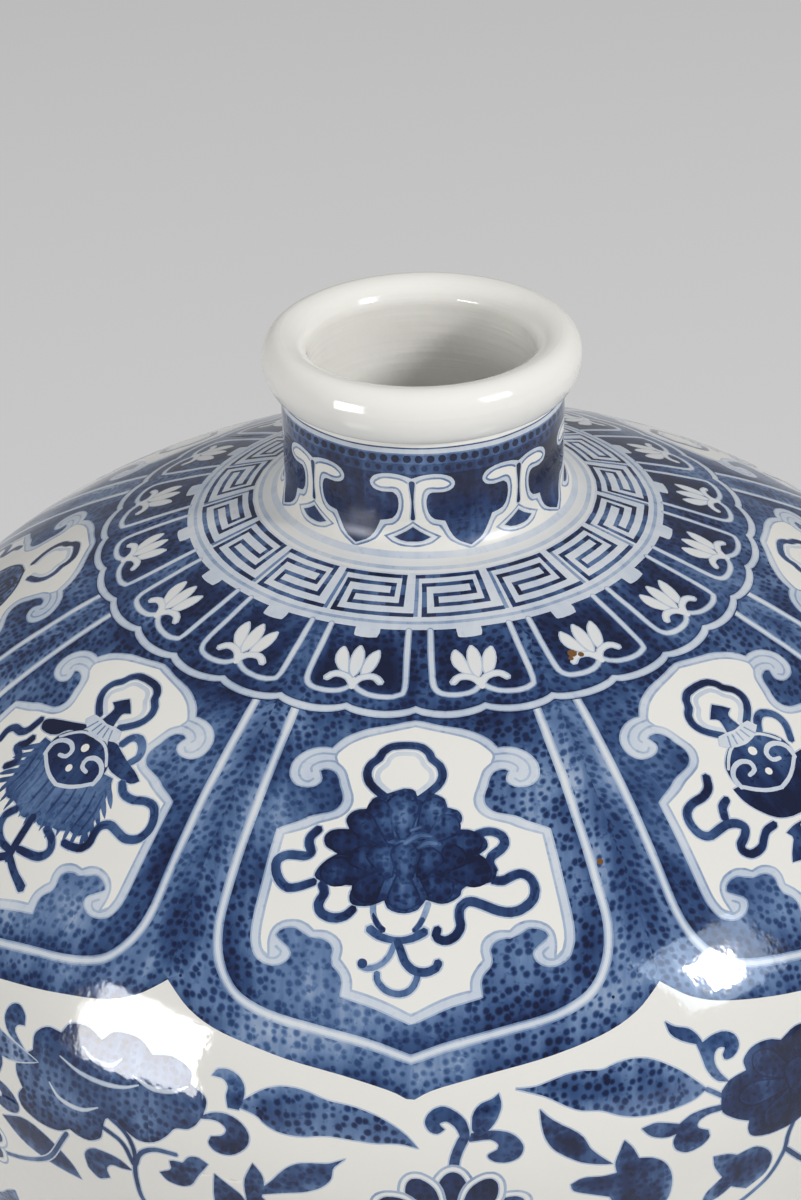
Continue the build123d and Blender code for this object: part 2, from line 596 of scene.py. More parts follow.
def scallops():
    """White line of thirty-two lobes between the lotus band and the panels."""
    turns = np.linspace(0, sector_turn, 4 * 12 + 1)
    sag = 1.2 * np.abs(np.sin(np.pi * turns / (sector_turn / 4))) ** 0.7
    marks = []
    for paint, reach in ((DARK, 1.0), (PALE, 0.75), (MIST, 0.48)):
        upper = np.column_stack((turns, 72.2 + sag - reach))
        lower = np.column_stack((turns, 72.2 + sag + reach))
        marks += repeated([(np.vstack((upper, lower[::-1])), paint)], sectors)
    return marks


def panel():
    """Large lappet of the shoulder: dotted ground, white line, and the cloud-shaped reserve."""
    border = curve(
        [(22.5, 73.4), (22.5, 100), (22.5, 127.2)],
        [(21.4, 129), (19.8, 131.2), (17, 133.5), (12, 135.8), (6, 138.1), (2, 140.2), (0, 142.2)],
    )
    line = curve([
        (19.1, 74), (19.1, 95), (19.1, 112), (18.9, 117), (18.3, 121), (17.2, 124.5), (15.7, 127.2),
        (13.5, 129), (11, 130.1), (8.5, 130.9), (3.5, 132.9), (0, 135.2),
    ])
    strip = curve([
        (0, 73.9), (1.5, 75.4), (2.0, 80), (2.0, 98), (2.0, 112), (2.4, 119), (1.8, 124.5), (0, 127),
    ])
    cloud = curve(
        [(0, 74.8), (1.5, 75.1), (3.2, 75.7), (5, 76.2), (7, 76.8), (9, 78), (10.5, 79.4), (11.6, 81.4)],
        [(12.8, 81.4), (14.2, 81.9), (15.4, 83), (16.2, 84.6), (16.3, 86.2), (15.9, 87.8), (15, 88.9),
         (13.8, 89.2), (12.6, 88.8), (12, 87.6), (12.6, 85.9)],
        [(12.1, 85.3), (11.4, 85.2), (10.4, 85.6), (9.6, 86.8), (9.2, 88.3), (8.7, 89.7), (8.5, 91.1),
         (8.8, 92.5), (9.6, 93.6), (10.8, 94.2), (12.2, 94.9), (13.3, 96), (14.5, 96.9), (15.6, 97.9)],
        [(15.6, 105), (15.6, 113), (15.5, 116.5), (15.2, 118.5), (14.6, 120.2), (13.5, 121.1),
         (12.4, 121), (11.6, 119.9), (11.6, 118.6), (12.9, 117)],
        [(13.2, 116.3), (12.9, 115.3), (12.2, 114.6), (11.3, 114.4), (10.6, 115), (9.6, 115.8)],
        [(8.7, 115.7), (7.8, 116.3), (7.3, 117.6), (7.4, 119.1), (7.2, 120.3)],
        [(6.5, 121.5), (6.2, 123), (6.3, 125.2)],
        [(5, 125.8), (3.4, 126.6), (1.8, 127.8), (0, 129.3)],
    )
    heart = curve(
        [(0, 75.7), (2, 76.3), (4.5, 77.1), (7, 78.1), (9, 79.5), (10.3, 81.2), (10.9, 82.6),
         (10.4, 84.1)],
        [(9.3, 85.2), (8.7, 86.6), (8.2, 88.3), (7.7, 89.8), (7.5, 91.2), (7.8, 92.8), (8.6, 94.1),
         (9.9, 95), (11.2, 95.7), (12.4, 96.8), (14.8, 98.5)],
        [(14.8, 105), (14.8, 113), (14.7, 116.8), (14.3, 118.9), (13.4, 120.1)],
        [(13.7, 117.4), (13.5, 115.4), (12.7, 114), (11.4, 113.4), (10.3, 113.8), (9.5, 114.8)],
        [(8.2, 114.7), (7, 115.8), (6.6, 117.4), (6.7, 119.2)],
        [(6, 120.6), (5.5, 122.2), (5.4, 124.2)],
        [(3.8, 124.9), (2, 126.1), (0, 127.9)],
    )
    hook = curve([
        (10.9, 82.4), (12.8, 82.5), (14.2, 83.3), (15.1, 84.8), (15.2, 86.4), (14.6, 87.8), (13.6, 88.3),
        (13, 87.6),
    ])
    curl = curve([(10.6, 83.9), (11.6, 83.8), (12.9, 84.3), (13.7, 85.3), (13.5, 86.2)])
    low_hook = curve([
        (14.6, 117.4), (14.2, 119.2), (13.4, 120.2), (12.6, 120), (12.3, 119), (12.9, 118.2),
    ])
    marks = fill(BORDER, mirrored(np.vstack(([(0, 73.4)], border))))
    marks += both(moved(fill(STRIP, mirrored(strip)), sector_turn / 2))
    marks += fill(GROUND, mirrored(np.vstack(([(0, 74)], line))))
    pale_foot = curve([(0, 112), (9, 108), (16.6, 104), (17.2, 114), (15, 124.5), (9, 129), (0, 132.6)])
    marks += fill(THIN, mirrored(pale_foot))
    for tone, width in ((wash(0.32), 1.7), (wash(0.20), 1.15), (wash(0.10), 0.6)):
        marks += both(stroke(tone, width, line))
    marks += fill(wash(0.28), inset(mirrored(cloud), -0.3)) + fill(BAND, mirrored(cloud))
    marks += fill(WHITE, mirrored(heart)) + loop(PALE, 0.45, mirrored(heart))
    for fine_line in (hook, curl, low_hook):
        marks += both(stroke(PALE, 0.45, fine_line))
    return marks


def trefoil_ring():
    """Looped knot at the top of an emblem."""
    half = curve([
        (0, 78.8), (2, 79.1), (3.2, 80.3), (3.6, 81.6), (4.6, 82.8), (5, 84.5), (4.6, 86.3), (3.6, 87.8),
        (2.2, 89.3),
    ])
    inner = curve([
        (0, 80.5), (1.4, 80.7), (2.2, 81.7), (2.5, 82.8), (3.3, 83.8), (3.6, 85), (3.3, 86.3),
        (2.5, 87.4), (1.5, 88.4),
    ])
    line = np.vstack(((half * (-1, 1))[:0:-1], half))
    band = np.vstack(((inner * (-1, 1))[:0:-1], inner))
    return stroke(BAND, 0.9, band) + soft_stroke(wash(0.76), 1.5, line) + stroke(DARK, 0.5, line)


def ribbon(*places):
    """Fluttering ribbon: a wash between two darker edges."""
    line = curve(list(places))
    marks = soft_stroke(wash(0.66), 1.65, line, (1.0, 0.9))
    third = len(line) // 3
    for part, taper in ((line[:third], (0.9, 0.1)), (line[-third:], (0.1, 1.0))):
        marks += stroke(wash(0.80), 1.3, part, taper)
    return marks


def ribbons():
    """The four ribbons round an emblem."""
    marks = ribbon(
        (-11, 97), (-11.7, 98.5), (-11.6, 100), (-11.2, 101.2), (-11.8, 102.1), (-13.4, 102.1),
        (-14.5, 103), (-14.7, 104.6), (-14.1, 106.7), (-13, 108), (-11.8, 107.6), (-10.4, 106.5),
    )
    marks += ribbon(
        (-9.4, 106.8), (-9, 108.2), (-9.4, 110), (-9, 111.6), (-7.8, 112.3), (-6.6, 111.8), (-5.9, 110.6),
    )
    marks += ribbon(
        (7.4, 97.3), (8.7, 96.9), (10, 97.8), (10.3, 99.3), (9.7, 100.5), (8.7, 101.4), (8.3, 102.6),
        (8.6, 104),
    )
    marks += ribbon(
        (8.5, 105.8), (9.5, 106), (10.5, 105.3), (11.5, 105.1), (12.3, 106), (12.6, 107.8), (12.2, 109.8),
        (11, 111.2), (9.8, 111.6), (8.5, 111.1), (7, 109.8), (5.8, 109.1), (4.9, 110), (4.7, 111.6),
        (4.8, 113.4), (4.2, 115), (3.2, 115.7), (2.4, 115), (2.5, 113.8),
    )
    return marks


def pendant():
    """Cup on a stem, with rolled ends and a loop, below an emblem."""
    left = curve([(-2.7, 109.6), (-2.6, 111.4), (-2.1, 113), (-1.6, 113.8)])
    right = curve([(2.8, 109.4), (2.4, 111.4), (1.9, 113), (1.5, 113.8)])
    saucer = curve([(-2.8, 113.8), (-1.7, 115), (-0.1, 115.6), (1.3, 115.2), (2.4, 114.1)])
    left_hook = curve([
        (-0.4, 116.2), (-0.8, 118.2), (-1.6, 119.7), (-2.6, 120.4), (-3.4, 120.1), (-3.5, 119.5),
    ])
    right_hook = curve([
        (-0.1, 115.8), (0.3, 117.6), (0.7, 119.3), (1.5, 120.6), (2.6, 120.9), (3.5, 120.2), (3.7, 119.4),
    ])
    tassel = curve([
        (-1.9, 121.2), (-1.8, 122.4), (-1.1, 123.8), (0, 124.4), (1, 123.9), (1.6, 122.6), (1.8, 121.4),
    ])
    marks = stroke(wash(0.34), 1.1, left) + stroke(wash(0.34), 1.1, right)
    marks += soft_stroke(wash(0.58), 1.2, saucer, (1.3, 1.3))
    marks += stroke(wash(0.74), 0.9, left[len(left) // 3:], (0.3, 1.2))
    marks += stroke(wash(0.6), 0.9, right[len(right) // 2:])
    marks += soft_stroke(wash(0.58), 1.1, tassel) + soft_stroke(wash(0.46), 1.0, left_hook)
    marks += dot(wash(0.82), -3.3, 119.6, 0.85, 12) + soft_stroke(wash(0.68), 1.45, right_hook, (0.9, 1.0))
    return marks


def blade(base, tip, width):
    """Outline of a petal that widens towards a rounded tip."""
    base = np.asarray(base, float)
    tip = np.asarray(tip, float)
    scale = place(degree((base[1] + tip[1]) / 2), 1)
    along = (tip - base) * scale
    side = unit(place(-along[1], along[0])) * width / 2

    def at(reach, share):
        return (base * scale + along * reach + side * share) / scale

    right = [(0, 0.25), (0.4, 0.7), (0.7, 1), (0.9, 0.72), (1, 0)]
    left = [(0.9, -0.72), (0.7, -1), (0.4, -0.7), (0, -0.25)]
    return curve([at(*spot) for spot in right + left])


def lotus():
    """Full-blown lotus of the front panel."""
    bloom = curve(
        [(-3.8, 89.6), (-2.4, 88.9), (-1.2, 88.3), (0.1, 88.6), (0.5, 89.7)],
        [(2.2, 89.2), (3.8, 90.2), (4.2, 92)],
        [(5.5, 92.8), (5.8, 94.5), (4.9, 96.2)],
        [(6.6, 96.4), (8.1, 98), (8.3, 99.8), (7.3, 101)],
        [(8.4, 102.5), (8.9, 104.5), (8.1, 106.1), (6.3, 106.2)],
        [(5.2, 106.8), (4.8, 108.2), (3.2, 109.4), (1.4, 108.7)],
        [(0.6, 110.3), (-0.8, 111), (-2.3, 110.4), (-2.8, 108.9)],
        [(-4.3, 109.9), (-6, 109.8), (-6.4, 108.1), (-6, 106.5)],
        [(-8, 106.5), (-9.9, 106.1), (-10.4, 105), (-9.6, 102.8), (-8.2, 101)],
        [(-9.7, 100), (-10.1, 98), (-9.1, 96.7), (-7.4, 96.4)],
        [(-7.9, 94.6), (-7.1, 92.9), (-5.4, 92.3)],
        [(-5.1, 90.5), (-3.8, 89.6)],
    )
    petals = (
        ((-1, 98), (-1.4, 88.9), 6.2), ((0.4, 98), (3.2, 89.9), 4.6), ((-2.4, 98), (-4.9, 90.6), 4.4),
        ((1, 99), (5.3, 94), 4.6), ((-3, 99), (-7.2, 93.6), 4.8), ((1.4, 100), (7.9, 98.4), 5.0),
        ((-3.2, 100.6), (-9.6, 98.2), 4.8), ((1.4, 101.6), (8.4, 104.9), 5.6),
        ((-3.2, 102), (-9.9, 105.2), 5.4), ((0.6, 103), (3.9, 108.4), 5.2),
        ((-2.8, 103), (-5.6, 109), 5.0), ((-1, 103), (-0.8, 110.6), 5.6), ((2.6, 104), (5.4, 99.6), 5.0),
        ((-4, 104), (-6.4, 99.8), 5.0), ((0.8, 105), (2.2, 99.4), 5.4), ((-2.4, 105), (-3.8, 98.6), 5.6),
        ((-0.6, 106), (-0.8, 98.2), 5.6),
    )
    glints = (
        [(-0.9, 98.6), (0.6, 97.2), (2, 97.4)], [(0.6, 99.4), (1.6, 98.6), (3, 98.9)],
        [(-0.2, 96.2), (0.8, 95.6)],
    )
    marks = moved(trefoil_ring(), -1.2, 0.9) + ribbons() + moved(pendant(), -1.2) + soft(DEEP_BLOOM, bloom)
    for base, tip, width in petals:
        outline = blade(base, tip, width)
        marks += fill(wash(0.94), outline) + fill(DEEP_BLOOM, inset(outline, 0.35))
    for places in glints:
        marks += stroke(wash(0.7), 1.5, curve(places), (0.5, 0.5))
        marks += stroke(wash(0.56), 0.7, curve(places), (0.4, 0.4))
    return marks


def spiral(turn, down, radius, way):
    """Curl of a cloud head, drawn inwards."""
    angle = np.linspace(0, 3.4 * np.pi, 22)
    reach = radius * (1 - angle / (4.2 * np.pi))
    across = way * reach * np.cos(angle) / degree(down)
    return np.column_stack((turn + across, down - reach * np.sin(angle)))


def cloud_head():
    """Dark ruyi head with a white edge and two large white curls."""
    half = curve([
        (0, 92.6), (2, 92.8), (3.6, 94.2), (4.8, 96.2), (5.1, 98.6), (4.7, 100.4), (3.2, 102.2),
        (1.6, 103.6), (0, 104.4),
    ])
    curl = curve([
        (4.6, 100.6), (4.7, 98.4), (3.8, 96.8), (2.4, 96.4), (1.4, 97.4), (1.6, 98.9), (2.6, 99.3),
    ])
    marks = soft(DARK, mirrored(half))
    marks += both(stroke(MIST, 1.0, curl, (0.9, 0.8)))
    marks += both(stroke(BAND, 0.8, curve([(4.6, 100.4), (3.1, 102.1), (1.6, 103.3), (0, 104)])))
    marks += both(stroke(BAND, 0.6, curve([(0, 93), (2, 93.3), (3.4, 94.6), (4.6, 96.6)])))
    marks += dot(WHITE, 0, 95.7, 0.9, 11) + dot(WHITE, 0, 100.3, 0.75, 11)
    return marks


def knob():
    """Small dark finial inside the looped knot, on its fluted collar."""
    cross = curve([(0, 83.7), (0.9, 84.6), (2, 86)], [(0.9, 87), (1.2, 89.8)], [(0, 90)])
    collar = curve([(0, 89.9), (1.4, 89.6), (2.7, 89.6)], [(3.4, 91.3)], [(1.8, 92.7), (0, 93.2)])
    marks = soft(DARK, mirrored(cross)) + soft(BAND, mirrored(collar))
    for turn in (-2.2, -1.1, 0, 1.1, 2.2):
        marks += stroke(LINE, 0.35, np.array([(turn * 0.7, 90.4), (turn, 92.3)]))
    return marks


def canopy():
    """Canopy with a cloud collar, a brushed skirt and hanging streamers."""
    skirt = curve(
        [(6.6, 98), (7.4, 102), (7.9, 108.4)], [(6.8, 110), (5.6, 109.8)], [(4, 110.8), (2.9, 110.6)],
        [(1.6, 111.6), (0.3, 110.9)], [(-1.2, 112), (-2.4, 111.2)],
        [(-3.6, 110.6), (-4.9, 110.9), (-6, 109.6)], [(-6.6, 104), (-6.5, 98.4)],
    )
    left_brim = curve(
        [(-2, 91.6), (-4, 92.6), (-6.4, 94), (-8, 95), (-8.9, 96.2), (-8.2, 97.6), (-6.4, 97.6)],
        [(-5.2, 96.6), (-4.4, 94.8), (-2.6, 93.6)],
    )
    right_brim = curve([(2.2, 92.4), (3.6, 92), (5.2, 93), (7, 94.2), (8.8, 95.2), (10.1, 96.4)],
                       [(9.2, 97.5), (7, 97.4), (5.2, 96.8), (3.6, 95)])
    marks = trefoil_ring() + soft(BRUSHED, skirt)
    for step in range(13):
        turn = 1.15 * step - 6.2
        hair = curve([(turn * 0.96, 107.5), (turn, 109.6), (turn * 1.05, 111.8 + step % 3 * 0.6)])
        marks += stroke(wash(0.55), 1.0, hair, (1, 0.15))
    for step in range(5):
        down = 99.4 + 2 * step
        for side, reach in ((-5.8, -2.6), (6.6, 2.2)):
            hair = curve([(side, down), (side + reach / 2, down + 1.7), (side + reach, down + 3.6)])
            marks += stroke(wash(0.54), 1.1, hair, (1, 0.1))
    for turn in (-5.6, -4.4, -3, -1.6, -0.2, 1.4, 2.8, 4.2, 5.6, 6.8):
        marks += stroke(
            wash(0.67), 0.6, curve([(turn, 101.5), (turn + 0.3, 105), (turn, 109.4)]), (0.4, 0.3),
        )
    marks += ribbon((4.4, 91.6), (4.9, 89.9), (6, 89.3), (7.2, 90.4), (7.8, 92.4), (7.2, 94.2))
    marks += soft(INK, left_brim) + soft(INK, right_brim) + cloud_head() + knob()
    marks += ribbon(
        (8.1, 98), (9.1, 99.6), (10.7, 100), (12.3, 99.4), (13.7, 99.8), (14.5, 101.8), (14.6, 104),
        (13.9, 106), (12.5, 106.8), (11.1, 106.2), (9.9, 105.6), (8.9, 106.4), (8.6, 108), (8.7, 110),
        (8.1, 111.5), (6.8, 112.1), (5.8, 112.1),
    )
    marks += ribbon(
        (-9.5, 96.6), (-9.7, 99.2), (-10.5, 100.6), (-11.9, 100.9), (-12.6, 102.3), (-12.4, 104.4),
    )
    marks += ribbon((-8.1, 100), (-8.3, 101.4), (-9.1, 103), (-7.9, 103.8), (-7.5, 105.2), (-8.3, 107))
    marks += ribbon((-2.6, 111.5), (-3.4, 113.6), (-3, 116), (-1.7, 117.6), (0, 118))
    marks += ribbon((2.7, 111.4), (4.1, 112.6), (4.7, 114.6), (3.7, 116.4), (1, 117))
    marks += soft_stroke(DARK, 1.7, curve([(0.1, 111), (0.2, 115), (0.3, 119.4)]))
    marks += soft_stroke(DARK, 1.6, curve([(0.3, 118.8), (1.9, 120.8), (3.6, 122.3)]), (0.9, 1.3))
    marks += soft_stroke(DARK, 1.6, curve([(0.3, 118.8), (-1, 120.4), (-2.6, 122.3)]), (0.9, 1.3))
    return marks


def treasure_vase():
    """Bowl of jewels with a cloud collar on its foot."""
    bowl = curve(
        [(0, 100), (6.2, 100.6)],
        [(5.8, 103.4), (4.6, 106.4), (3.2, 108.6), (1.6, 109.5), (0, 109.7)],
    )
    base = curve(
        [(0, 111), (2, 111), (3.4, 111.6)], [(3, 113), (4, 115), (4.6, 116.6)], [(2, 117.2), (0, 117.3)],
    )
    marks = moved(trefoil_ring(), -0.2, 1.7)
    marks += ribbon((2.6, 93.4), (3.6, 91.8), (5, 91.2), (6.4, 92.6), (6.7, 95), (5.6, 98))
    marks += soft(INK, mirrored(bowl)) + soft(DARK, mirrored(base))
    marks += moved(cloud_head(), -0.4, 0.3) + moved(knob(), -0.4, 1.2)
    marks += both(stroke(PALE, 0.5, curve([(2.8, 116.4), (1.6, 114.2), (1.2, 111.6)])))
    marks += ribbon(
        (-8.4, 96.6), (-9, 98.4), (-10.2, 99.5), (-11.8, 99.9), (-13, 101), (-13.4, 103), (-13, 105.3),
        (-12, 106.4), (-10.8, 106), (-9.4, 105.6), (-8.2, 106.2), (-7.6, 107.4), (-8.2, 108.8),
        (-9.1, 109.8), (-9.2, 111.1), (-8.4, 112.1), (-7, 111.8), (-6.2, 110.6), (-5.4, 109.6),
        (-4.2, 109.3),
    )
    marks += ribbon((-9.2, 104.4), (-8.8, 102.6), (-7.8, 101.7))
    marks += ribbon(
        (7, 101), (8.8, 102), (10.6, 101), (11.8, 102.6), (11.4, 105.4), (9.6, 106.8), (8.2, 108.6),
        (8.6, 111), (7, 112),
    )
    return marks


def wheel():
    """Wheel of the law with eight spokes."""
    def circle(radius):
        angle = np.linspace(0, 2 * np.pi, 33)[:-1]
        return np.column_stack((radius * np.cos(angle) / degree(100), 100 + radius * np.sin(angle)))

    marks = soft(DARK, circle(9.6)) + fill(WHITE, circle(7.4)) + loop(MID, 0.8, circle(6.6))
    for step in range(8):
        angle = step * math.pi / 4
        way = place(math.cos(angle) / degree(100), math.sin(angle))
        marks += soft_stroke(MID, 1.3, np.array((place(0, 100) + way * 2, place(0, 100) + way * 7)))
        knob_at = place(0, 100) + way * 10.4
        marks += dot(DARK, knob_at[0], knob_at[1], 1.3, 11)
    marks += fill(DARK, circle(2.6)) + fill(WHITE, circle(1.1))
    return moved(trefoil_ring(), 0, -0.6) + marks + ribbons() + pendant()


def fishes():
    """Pair of fishes, side by side."""
    body = curve([(2.2, 92), (4.6, 94.4), (5.2, 98.6), (4, 103), (2.4, 106)], [(4.6, 108.8), (2.2, 109)],
                 [(0.4, 109.4), (0.9, 105.6)], [(0.5, 101), (0.7, 96), (2.2, 92)])
    fin = curve([(5, 97), (7.4, 98.6), (6.6, 101.4), (4.9, 100.8)])
    fish = soft(MID, fin) + soft(INK, body) + fill(LEAF, inset(body, 0.4))
    fish += dot(WHITE, 2.6, 95, 0.9, 11) + dot(INK, 2.6, 95, 0.4)
    fish += stroke(WHITE, 0.5, curve([(1.4, 97.4), (2.8, 98.2), (4.4, 97.4)]))
    return trefoil_ring() + both(fish) + ribbons() + pendant()


def endless_knot():
    """Knot of one interlaced line, with an ear on each side."""
    marks = trefoil_ring()
    lines = []
    for step in (-1.1, 1.1, 3.3):
        down = 99.6 + 1.45 * step
        lines.append([(step - 4.4, down), (step + 2.2, down - 9.4)])
    lines += [[(-turn, down) for turn, down in line] for line in lines]
    ear = curve([(4.4, 96), (6.6, 94.2), (8, 96), (7.2, 98.6), (4.6, 100)])
    for width, paint in ((2.0, DARK), (0.7, PALE)):
        for line in lines:
            marks += stroke(paint, width, np.array(line))
        diamond = np.array([(0, 90.8), (6.4, 99.6), (0, 108.6), (-6.4, 99.6)])
        marks += loop(paint, width, subdivided(diamond)) + both(stroke(paint, width, ear))
    return marks + ribbons() + pendant()


def conch():
    """Conch shell with a whorled top."""
    shell = curve([(-1, 91), (3.4, 92.2), (6.4, 96), (6.6, 101), (4, 105.4), (0.6, 109.4)],
                  [(-1.6, 105.4), (-4.8, 101.6), (-5.4, 97), (-4, 93), (-1, 91)])
    mouth = curve([(-0.6, 107.4), (-2.6, 102.6), (-1.4, 98.8), (1, 101.4), (0.6, 105)])
    marks = trefoil_ring() + soft(INK, shell) + fill(LEAF, inset(shell, 0.5)) + fill(WHITE, mouth)
    marks += loop(DARK, 0.5, mouth) + stroke(INK, 0.8, spiral(0.6, 95.6, 3.2, 1))
    return marks + ribbons() + pendant()


def parasol():
    """Parasol with a lobed dome and a fringe."""
    dome = curve([(0, 90.4), (3.6, 91.6), (6.6, 95), (7.8, 99.4)],
                 [(6.6, 101.2), (5.2, 100)], [(4, 101.8), (2.6, 100.4)], [(1.3, 102), (0, 100.8)])
    marks = trefoil_ring() + soft(DARK, mirrored(dome))
    for turn in (-5.2, -2.6, 0, 2.6, 5.2):
        marks += stroke(PALE, 0.5, curve([(turn * 0.2, 91.6), (turn * 0.7, 95), (turn, 100)]))
        marks += soft_stroke(MID, 0.9, curve([(turn, 102.4), (turn + 0.4, 105), (turn, 107.6)]), (1, 0.4))
    marks += soft_stroke(MID, 1.4, curve([(0, 101.5), (0, 106), (0, 110)]))
    return marks + ribbons() + pendant()


def shoulder_panels():
    """The eight panels with their emblems, and the scalloped ring above them."""
    marks = ring(GROUND, 72.6, 78)
    marks += repeated(panel(), sectors)
    emblems = (lotus, treasure_vase, fishes, endless_knot, wheel, parasol, conch, canopy)
    for step, emblem in enumerate(emblems):
        marks += moved(fringes_first(emblem()), sector_turn * step)
    marks += scallops()
    return marks


def from_middle(turn, down, across, along):
    """Place on the chart at a distance in millimetres from another."""
    return place(turn + across / degree(down), down + along)


def petal(turn, down, way, near, far, width, blunt=False):
    """Outline of a petal that leaves a middle in a direction, in degrees from straight up."""
    ahead = place(math.sin(math.radians(way)), -math.cos(math.radians(way)))
    side = place(-ahead[1], ahead[0]) * width / 2

    def at(reach, share):
        return from_middle(turn, down, *(ahead * (near + (far - near) * reach) + side * share))

    if blunt:
        return curve(
            [at(0, 0.3), at(0.4, 0.75), at(0.72, 1.0), at(0.92, 0.84), at(0.93, 0.42)],
            [at(1.0, 0.3), at(1.04, 0), at(1.0, -0.3), at(0.93, -0.42)],
            [at(0.92, -0.84), at(0.72, -1.0), at(0.4, -0.75), at(0, -0.3)],
        )
    return curve([
        at(0, 0.4), at(0.3, 0.86), at(0.62, 1.0), at(0.9, 0.6), at(1, 0), at(0.9, -0.6), at(0.62, -1.0),
        at(0.3, -0.86), at(0, -0.4),
    ])


def rimmed(paint, rim, width, outline):
    """Filled outline with a rim of another tone."""
    return soft(rim, outline) + fill(paint, inset(outline, width))


def peony(turn, down, radius, paint, spin=0.0):
    """Full flower: broad lobed petals parted by white lines, in two rows round a heart."""
    marks = []
    for share, near, count, wide, shift in ((1.0, 0.2, 7, 0.94, 0), (0.68, 0.1, 5, 0.78, 20)):
        for step in range(count):
            way = spin + shift + (step * 2 % count) * 360 / count
            outline = petal(turn, down, way, radius * near, radius * share, radius * wide, blunt=True)
            marks += fill(WHITE, inset(outline, -0.45)) + fill(paint, outline)
    heart = petal(turn, down + radius * 0.24, spin, 0, radius * 0.56, radius * 0.5)
    return marks + rimmed(paint, WHITE, 0.5, heart)


def daisy(turn, down, radius, spin=0.0, count=10):
    """Open flower: dark petals, each inside a white edge and a pale line, round a dotted heart."""
    marks = []
    wide = 6.2 * radius / count
    for step in range(count):
        way = spin + (step * 3 % count) * 360 / count
        outline = petal(turn, down, way, radius * 0.3, radius, wide)
        marks += fill(PALE, outline) + fill(wash(0.03), inset(outline, 0.5))
        marks += soft(DARK_DOTTED, petal(turn, down, way, radius * 0.36, radius - 1.5, wide - 2.6))
    marks += dot(PALE, turn, down, radius * 0.34, 16) + dot(WHITE, turn, down, radius * 0.29, 16)
    return marks + dot(DARK_DOTTED, turn, down, radius * 0.2, 14)


def leaf(base, tip, width, bend=0.0):
    """Pointed leaf with a waist between two places, bent sideways."""
    base = np.asarray(base, float)
    tip = np.asarray(tip, float)
    scale = place(degree((base[1] + tip[1]) / 2), 1)
    along = (tip - base) * scale
    side = unit(place(-along[1], along[0]))
    stops = (0.0, 0.1, 0.3, 0.5, 0.64, 0.82, 1.0)
    swell = (0.05, 0.5, 0.98, 0.95, 0.72, 0.5, 0.0)
    rib = [base * scale + along * t + side * bend * 4 * t * (1 - t) for t in stops]
    left = [(spot + side * width / 2 * share) / scale for spot, share in zip(rib, swell)]
    right = [(spot - side * width / 2 * share) / scale for spot, share in zip(rib, swell)]
    return soft(LEAF, curve(left, right[-2::-1]))


def front_bud():
    """Forked bud with two rolled ends and a pointed leaf between them."""
    left = curve(
        [(4.7, 147.6), (4.4, 145.6), (3.6, 144), (2.6, 143.1), (1.6, 143.9), (1.1, 145.7), (1.4, 147.4),
         (2.1, 148), (2.7, 147.2)],
        [(2.3, 146.2), (2.9, 145.8), (3.6, 147), (3.9, 148.6)],
        [(4.7, 149.4)],
    )
    tip = curve(
        [(4.9, 147.4), (5, 144.8), (5.6, 143), (6.6, 142.2), (7.2, 141.3)],
        [(7.4, 143.4), (7, 145.8), (6.3, 147.6)],
        [(5.4, 148.6), (4.9, 147.4)],
    )
    right = curve(
        [(4.8, 148), (6.4, 147.6), (7.8, 148.2), (8.7, 149.6), (9.1, 151.4), (8.7, 153.2), (7.6, 154),
         (6.5, 153.5), (6.1, 152.3), (6.9, 151.3)],
        [(7, 150.3), (6.3, 149.3), (4.6, 149.6)],
    )
    stem = curve([(4.3, 148.6), (3.8, 150.6), (3.4, 153), (3.3, 155.4)])
    marks = soft_stroke(MID_DOTTED, 1.7, stem)
    for outline in (left, right, tip):
        marks += soft(SPRIG, outline)
    return marks


